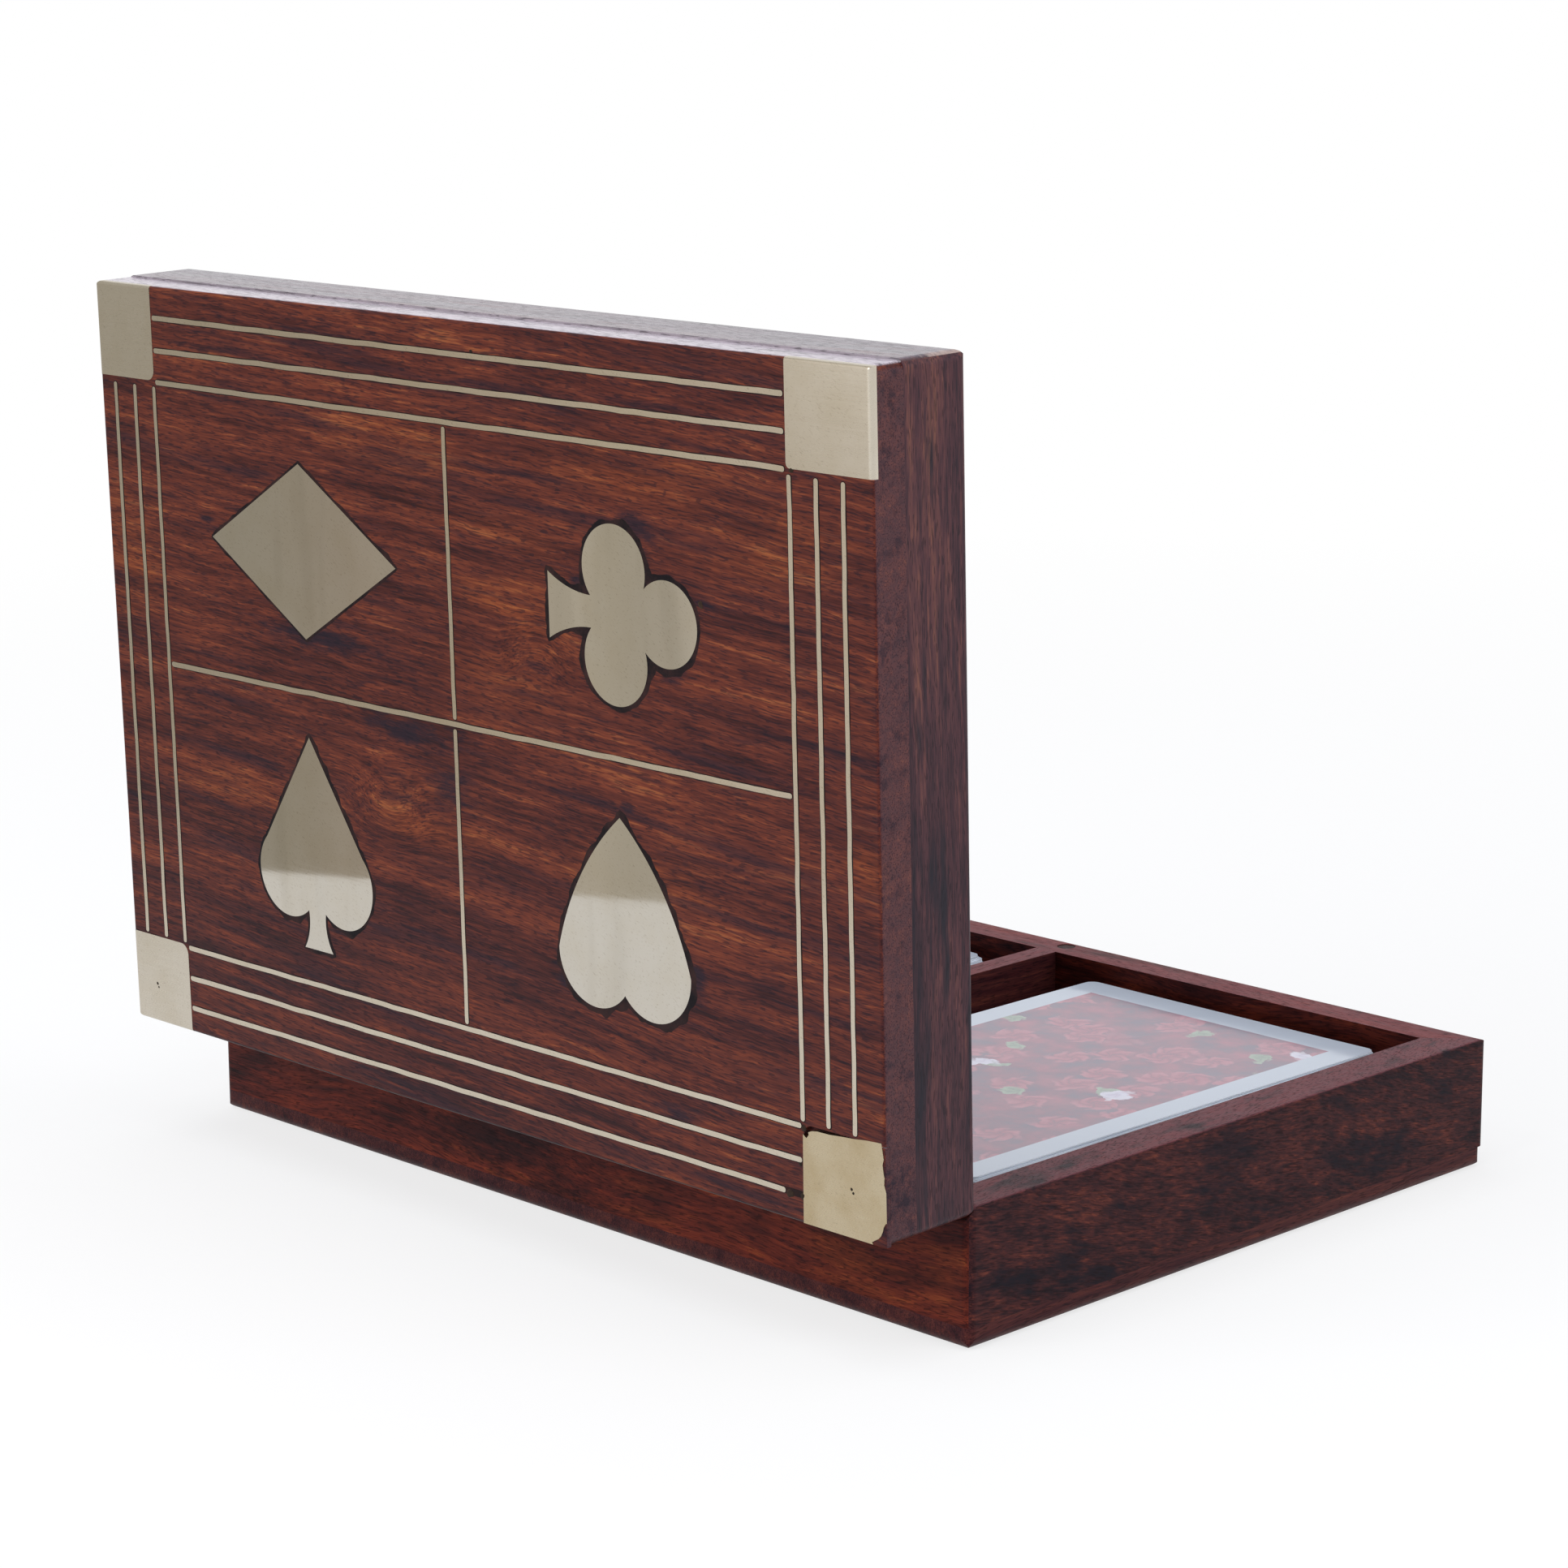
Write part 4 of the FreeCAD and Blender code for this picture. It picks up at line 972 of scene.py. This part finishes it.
class CARDBOX_OT_plates(Operator):
    """Finish the corner plates: two plain, one dressed over the edge and one torn"""

    bl_idname = "cardbox.plates"
    bl_label = "Corner plates"

    def execute(self, context):
        inlay = context.scene.card_box_inlay
        brass = inlay_brass("brass_sheet_plates_rubbed", inlay.plate, inlay.tarnish, 0.25,
                            (0.26, 0.30))
        old = inlay_brass("brass_sheet_old_plate_tarnished", inlay.old_plate, "#a08a62", 0.5,
                          (0.26, 0.30))
        finish_nodes(brass, "corner_plate_front_right", "corner_plate_back_right")
        self.peened_pins(brass)
        self.dressed_plate(brass, inlay.rolled_edge)
        self.torn_plate(old)
        marks = [blob(f"mark_{number}", (x * MM, y * MM), radius * MM, INLAY_TOP + MARK_RISE,
                      MARK_DEPTH) for number, (x, y, radius) in enumerate(LAC_MARKS)]
        filler = lac_filler("lac_filler_at_pins", "#17130f", "#3a2a20")
        settle(join("lac_marks", marks), "lid", filler)
        return {"FINISHED"}

    def peened_pins(self, brass):
        """The pins, filed a hair below the plates they hold."""
        pins = shut_copy("brass_pins_filed", "corner_plate_pins")
        pins.data.transform(Matrix.Translation((0, 0, -0.004 * MM)))
        settle(pins, "lid", brass, ("corner_plate_pins",), smooth=None)

    def dressed_plate(self, brass, radius):
        """The front left plate, whose outer edges are hammered round the panel's arrises."""
        low, high = closed_box("corner_plate_front_left")
        plate = block("brass_plate_front_left", low, high)
        upright = runs_along(2)
        bevel(plate, "EDGE",
              lambda e: middle(e).z > high.z - NEAR and middle(e).y < low.y + NEAR,
              0.5 * MM, 3)
        bevel(plate, "EDGE",
              lambda e: middle(e).z > high.z - NEAR and middle(e).x < low.x + NEAR,
              min(radius, (high.z - low.z) * 0.95), 5)
        bevel(plate, "EDGE",
              lambda e: upright(e) and middle(e).x > high.x - NEAR and middle(e).y > high.y - NEAR,
              0.7 * MM, 3)
        settle(plate, "lid", brass, ("corner_plate_front_left",))

    def torn_plate(self, brass):
        """The back left plate, a thin sheet whose outer edge is torn and eaten away."""
        low, high = closed_box("corner_plate_back_left")
        select()
        bpy.ops.mesh.primitive_circle_add(vertices=len(TORN_PLATE), fill_type="NGON")
        plate = adopt("brass_plate_back_left")
        for corner, (x, y) in zip(plate.data.vertices, TORN_PLATE):
            corner.co = (x * MM, y * MM, high.z)
        edit(plate)
        bpy.ops.mesh.select_all(action="SELECT")
        bpy.ops.mesh.normals_make_consistent(inside=False)
        bpy.ops.mesh.extrude_region_move(TRANSFORM_OT_translate={"value": (0, 0, low.z - high.z)})
        bpy.ops.mesh.select_all(action="SELECT")
        bpy.ops.mesh.normals_make_consistent(inside=False)
        bpy.ops.object.mode_set(mode="OBJECT")
        settle(plate, "lid", brass, ("corner_plate_back_left",), smooth=None)
        # The bare, dark wood where the sheet is gone. Its outer arris is worn round.
        top = LID_FACE - 0.04 * MM
        bed = block("rosewood_under_torn_plate", (low.x + 0.02 * MM, low.y + NEAR, low.z),
                    (-76.5 * MM, high.y - NEAR, top))
        bevel(bed, "EDGE", lambda e: middle(e).z > top - 0.02 * MM and middle(e).x < -79 * MM,
              0.25 * MM, 2)
        settle(bed, "lid", bpy.data.materials["rosewood_lid_panel_waxed"])


class CARDBOX_OT_hardware(Operator):
    """Finish the hinges, their screws and the magnet catch"""

    bl_idname = "cardbox.hardware"
    bl_label = "Hinges and magnets"

    def execute(self, context):
        hinge = turned_metal("brass_hinge_tumbled", "#c6a765", "#8d6f3c", (0.26, 0.4))
        finish_nodes(hinge, *(n for n in frame["nodes"] if n.startswith("hinge_")))
        magnet = lac_filler("ferrite_magnet_waxed", "#1d0f10", "#3a1f1e")
        finish_nodes(magnet, "base_magnet", "lid_magnet")
        return {"FINISHED"}


# Each pack's slips come from its own seed.
PACK_SEEDS = {"left": 5, "right": 17}
# How many cards lie fanned under the top card.
FANNED_CARDS = 12
# How much of its place a card's thickness fills, in the pack and on top.
CARD_SHARE, TOP_CARD_SHARE = 0.94, 0.75
# How far a card may be turned out of line, in radians.
SKEW = 0.0015
# How steeply a face looks up to bear the print.
UPWARD = 0.7


class CARDBOX_OT_cards(Operator):
    """Stack the two packs of cards"""

    bl_idname = "cardbox.cards"
    bl_label = "Packs of cards"

    def execute(self, context):
        cards = context.scene.card_box_cards
        stock = card_stock("pasteboard_cut_edge", "#f3f7fd", "#dde3ec")
        for hand, seed in PACK_SEEDS.items():
            low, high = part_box(f"{hand}_top_card")
            centre = (low + high) / 2
            # A pack lies askew by as much as its own box is wider than a card.
            slack = (high.x - low.x) - cards.width
            turn = -math.asin(slack / cards.length)
            back = printed_back(f"card_back_{hand}_laminated", centre, turn, cards)
            self.stack(hand, centre, turn, cards, (back, stock), seed)
            self.top_card(hand, centre, turn, cards, (back, stock))
        return {"FINISHED"}

    def print_backs(self, piece, papers):
        """The laminated back lies on the upper faces, and the rest is cut pasteboard."""
        for paper in papers:
            piece.data.materials.append(paper)
        for face in piece.data.polygons:
            face.material_index = 0 if face.normal.z > UPWARD else 1

    def stack(self, hand, centre, turn, cards, papers, seed):
        """Separate cards, each a little out of line."""
        low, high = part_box(f"{hand}_card_pack")
        pitch = (high.z - low.z) / cards.count
        half = Vector((cards.width / 2, cards.length / 2, 0))
        first = block("card", -half, half + Vector((0, 0, pitch * CARD_SHARE)))
        bevel(first, "EDGE", runs_along(2), cards.radius, 4)
        chance = random.Random(seed)
        laid = []
        for level in range(cards.count):
            card = first.copy()
            card.data = first.data.copy()
            bpy.context.collection.objects.link(card)
            slip = [chance.uniform(-cards.slip, cards.slip) for _ in range(2)]
            below = cards.count - level
            if below <= FANNED_CARDS:
                slip[0] -= cards.fan * min(below, FANNED_CARDS - below)
            card.data.transform(
                Matrix.Translation((centre.x + slip[0], centre.y + slip[1], low.z + pitch * level))
                @ Matrix.Rotation(turn + chance.uniform(-SKEW, SKEW), 4, "Z"))
            laid.append(card)
        bpy.data.objects.remove(first)
        pile = join(f"{hand}_stacked_cards", laid)
        self.print_backs(pile, papers)
        settle(pile, f"{hand}_pack", None, (f"{hand}_card_pack",), smooth=None)

    def top_card(self, hand, centre, turn, cards, papers):
        """The top card: its long sides curl up and its print is on the upper side only."""
        low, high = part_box(f"{hand}_top_card")
        select()
        bpy.ops.mesh.primitive_grid_add(x_subdivisions=26, y_subdivisions=40, size=1,
                                        scale=(1, 1, 1))
        card = adopt(f"{hand}_curled_card")
        card.data.transform(Matrix.Diagonal((cards.width, cards.length, 1, 1)))
        # Only a corner has two edges.
        bevel(card, "VERT", lambda v: len(v.link_edges) == 2, cards.radius, 5, affect="VERTICES")
        for point in card.data.vertices:
            across, along = point.co.x / (cards.width / 2), point.co.y / (cards.length / 2)
            curl = cards.lift * abs(across) ** 3 * (0.7 + 0.3 * math.sin(along * 4.0))
            waves = 0.01 * MM * math.sin(along * 9.0 + 2.0 * across) * abs(across)
            point.co.z = curl + waves + 0.01 * MM
        card.data.transform(Matrix.Translation((centre.x, centre.y, low.z))
                            @ Matrix.Rotation(turn, 4, "Z"))
        sheet = card.modifiers.new("thickness", "SOLIDIFY")
        sheet.thickness = (high.z - low.z) * TOP_CARD_SHARE
        sheet.offset = 1
        bpy.ops.object.modifier_apply(modifier=sheet.name)
        self.print_backs(card, papers)
        settle(card, f"{hand}_pack", None, (f"{hand}_top_card",), smooth=30)


# ---------------------------------------------------------------- stage

CAMERA_PLACE = Vector((-0.434088, 0.441954, 0.191853))
CAMERA_RIGHT = Vector((-0.70470, -0.70949, -0.00470))
CAMERA_UP = Vector((0.14917, -0.15463, 0.97665))
LIGHTS_AIM = Vector((0, 0, 0.06))
# The grey board's ends on the floor, its height and its thickness.
BOARD_NEAR, BOARD_FAR = Vector((-0.002, 0.2556, 0)), Vector((0.5, 0.0495, 0))
BOARD_HEIGHT, BOARD_THICKNESS = 0.6, 0.002


class CARDBOX_OT_stage(Operator):
    """Set up the pale floor, the soft lights and the camera"""

    bl_idname = "cardbox.stage"
    bl_label = "Floor, lights and camera"

    def execute(self, context):
        stage = context.scene.card_box_stage
        self.add_floor(stage)
        self.add_room_side()
        self.add_world(context.scene, stage)
        for name, place, size, watts in (
            ("softbox_above", (0.0, 0.1, 1.3), 1.3, stage.overhead),
            ("softbox_lid_side", (0.25, 1.25, 0.75), 1.0, stage.key),
            ("softbox_end_side", (-1.3, -0.35, 0.7), 1.0, stage.fill),
        ):
            aim = (LIGHTS_AIM - Vector(place)).to_track_quat("-Z", "Y").to_euler()
            bpy.ops.object.light_add(type="AREA", location=place, rotation=aim)
            light = adopt(name)
            light.data.size = size
            light.data.energy = watts
        back = CAMERA_RIGHT.cross(CAMERA_UP)
        turn = Matrix((CAMERA_RIGHT, CAMERA_UP, back)).transposed()
        bpy.ops.object.camera_add(location=CAMERA_PLACE, rotation=turn.to_euler())
        camera = adopt("camera")
        camera.data.sensor_width = 36
        camera.data.lens = stage.lens
        context.scene.camera = camera
        context.scene.view_settings.view_transform = "Standard"
        return {"FINISHED"}

    def add_floor(self, stage):
        """A wide pale floor that fades to white away from the box, and keeps its shadow."""
        select()
        bpy.ops.mesh.primitive_circle_add(vertices=96, radius=14, fill_type="NGON")
        floor = adopt("floor")
        material, add = new_material("paper_backdrop_matt")
        place = add("TexCoord", out="Object")
        fleck = add("TexNoise", {"Vector": place, "Scale": 300.0})
        flecked = add("MapRange", [fleck, 0.4, 0.6, 0.0, 0.04])
        colour = overlaid(add, stage.floor, [(flecked, "#e8e8e8")])
        dull = add("MapRange", [fleck, 0.3, 0.7, 0.8, 0.9])
        paper = add("BsdfPrincipled", {"Base Color": colour, "Roughness": dull,
                                       "Specular IOR Level": 0.1})
        far = add("VectorMath", [place], "Value", operation="LENGTH")
        faded = add("MapRange", [far, 0.16, 0.6, 0.72, 1.0])
        amount = add("Math", [self.seen(add), faded], operation="MULTIPLY")
        add("OutputMaterial", [add("MixShader", [amount, paper, add("Emission")])], None)
        floor.data.materials.append(material)

    def add_room_side(self):
        """A grey board beside the box, which the brass and the wax mirror.

        It stands on the floor and turns away from the box: paler towards its near end."""
        run = (BOARD_FAR - BOARD_NEAR).normalized()
        select()
        bpy.ops.mesh.primitive_cube_add(
            size=1, location=(BOARD_NEAR + BOARD_FAR) / 2 + Vector((0, 0, BOARD_HEIGHT / 2)),
            rotation=(0, 0, math.atan2(run.y, run.x)),
            scale=((BOARD_FAR - BOARD_NEAR).length, BOARD_THICKNESS, BOARD_HEIGHT))
        bpy.ops.object.transform_apply(location=True, rotation=True, scale=True)
        board = adopt("grey_board")
        material, add = new_material("grey_board_matt")
        place = add("TexCoord", out="Object")
        across = add("SeparateXYZ", [place], "X")
        grey = add("ValToRGB", [add("MapRange", [across, 0.06, 0.22])],
                   stops=[(0.06, "#efeae4"), (0.35, "#dcd6c9"), (0.65, "#c0b6aa"),
                          (0.76, "#b7b1a5"), (0.93, "#c6c4bd")])
        # Upright folds, a finger wide.
        folds = add("VectorMath", [place, (60, 60, 2)], operation="MULTIPLY")
        cloud = add("TexNoise", {"Vector": folds, "Scale": 1.0, "Detail": 1.0})
        folded = add("MapRange", [cloud, 0.45, 0.7, 0.0, 0.35])
        grey = overlaid(add, grey, [(folded, "#a39c8e")])
        add("OutputMaterial", [add("Emission", [grey])], None)
        board.data.materials.append(material)
        for kind in ("camera", "diffuse", "shadow", "transmission", "volume_scatter"):
            setattr(board, f"visible_{kind}", False)

    def add_world(self, scene, stage):
        """A white background to the eye, and an even, slightly cool light on the box."""
        world = scene.world = bpy.data.worlds.new("studio")
        world.use_nodes = True
        world.node_tree.nodes.clear()
        add = functools.partial(node, world.node_tree)
        even = add("Background", ["#eaf0ff", stage.ambient])
        white = add("Background", ["#ffffff", 1.0])
        add("OutputWorld", [add("MixShader", [self.seen(add), even, white])], None)

    def seen(self, add):
        """One for rays from the camera and in mirrors and glass, and nought for light on things."""
        path = add("LightPath", out=None)
        found = path["Is Camera Ray"]
        for kind in ("Is Glossy Ray", "Is Transmission Ray"):
            found = add("Math", [found, path[kind]], operation="MAXIMUM")
        return found


# ---------------------------------------------------------------- registration and main

OPERATORS = (CARDBOX_OT_stage, CARDBOX_OT_woodwork, CARDBOX_OT_lines, CARDBOX_OT_suits,
             CARDBOX_OT_plates, CARDBOX_OT_hardware, CARDBOX_OT_cards)


class CARDBOX_PT_panel(Panel):
    """The card box's pieces and settings"""

    bl_idname = "CARDBOX_PT_panel"
    bl_label = "Card box"
    bl_space_type = "VIEW_3D"
    bl_region_type = "UI"
    bl_category = "Card box"

    def draw(self, context):
        for operator in OPERATORS:
            self.layout.operator(operator.bl_idname)
        for group in SETTINGS:
            settings = getattr(context.scene, group)
            column = self.layout.column(heading=settings.bl_rna.description)
            for name in settings.__annotations__:
                column.prop(settings, name)


CLASSES = (*SETTINGS.values(), *OPERATORS, CARDBOX_PT_panel)


def register():
    for made in CLASSES:
        bpy.utils.register_class(made)
    for name, group in SETTINGS.items():
        setattr(bpy.types.Scene, name, PointerProperty(type=group))


def unregister():
    for name in SETTINGS:
        delattr(bpy.types.Scene, name)
    for made in reversed(CLASSES):
        bpy.utils.unregister_class(made)


def main():
    register()
    bpy.ops.cardbox.stage()
    bpy.ops.cardbox.woodwork()
    bpy.ops.cardbox.lines()
    bpy.ops.cardbox.suits()
    bpy.ops.cardbox.plates()
    bpy.ops.cardbox.hardware()
    bpy.ops.cardbox.cards()


if __name__ == "__main__":
    main()
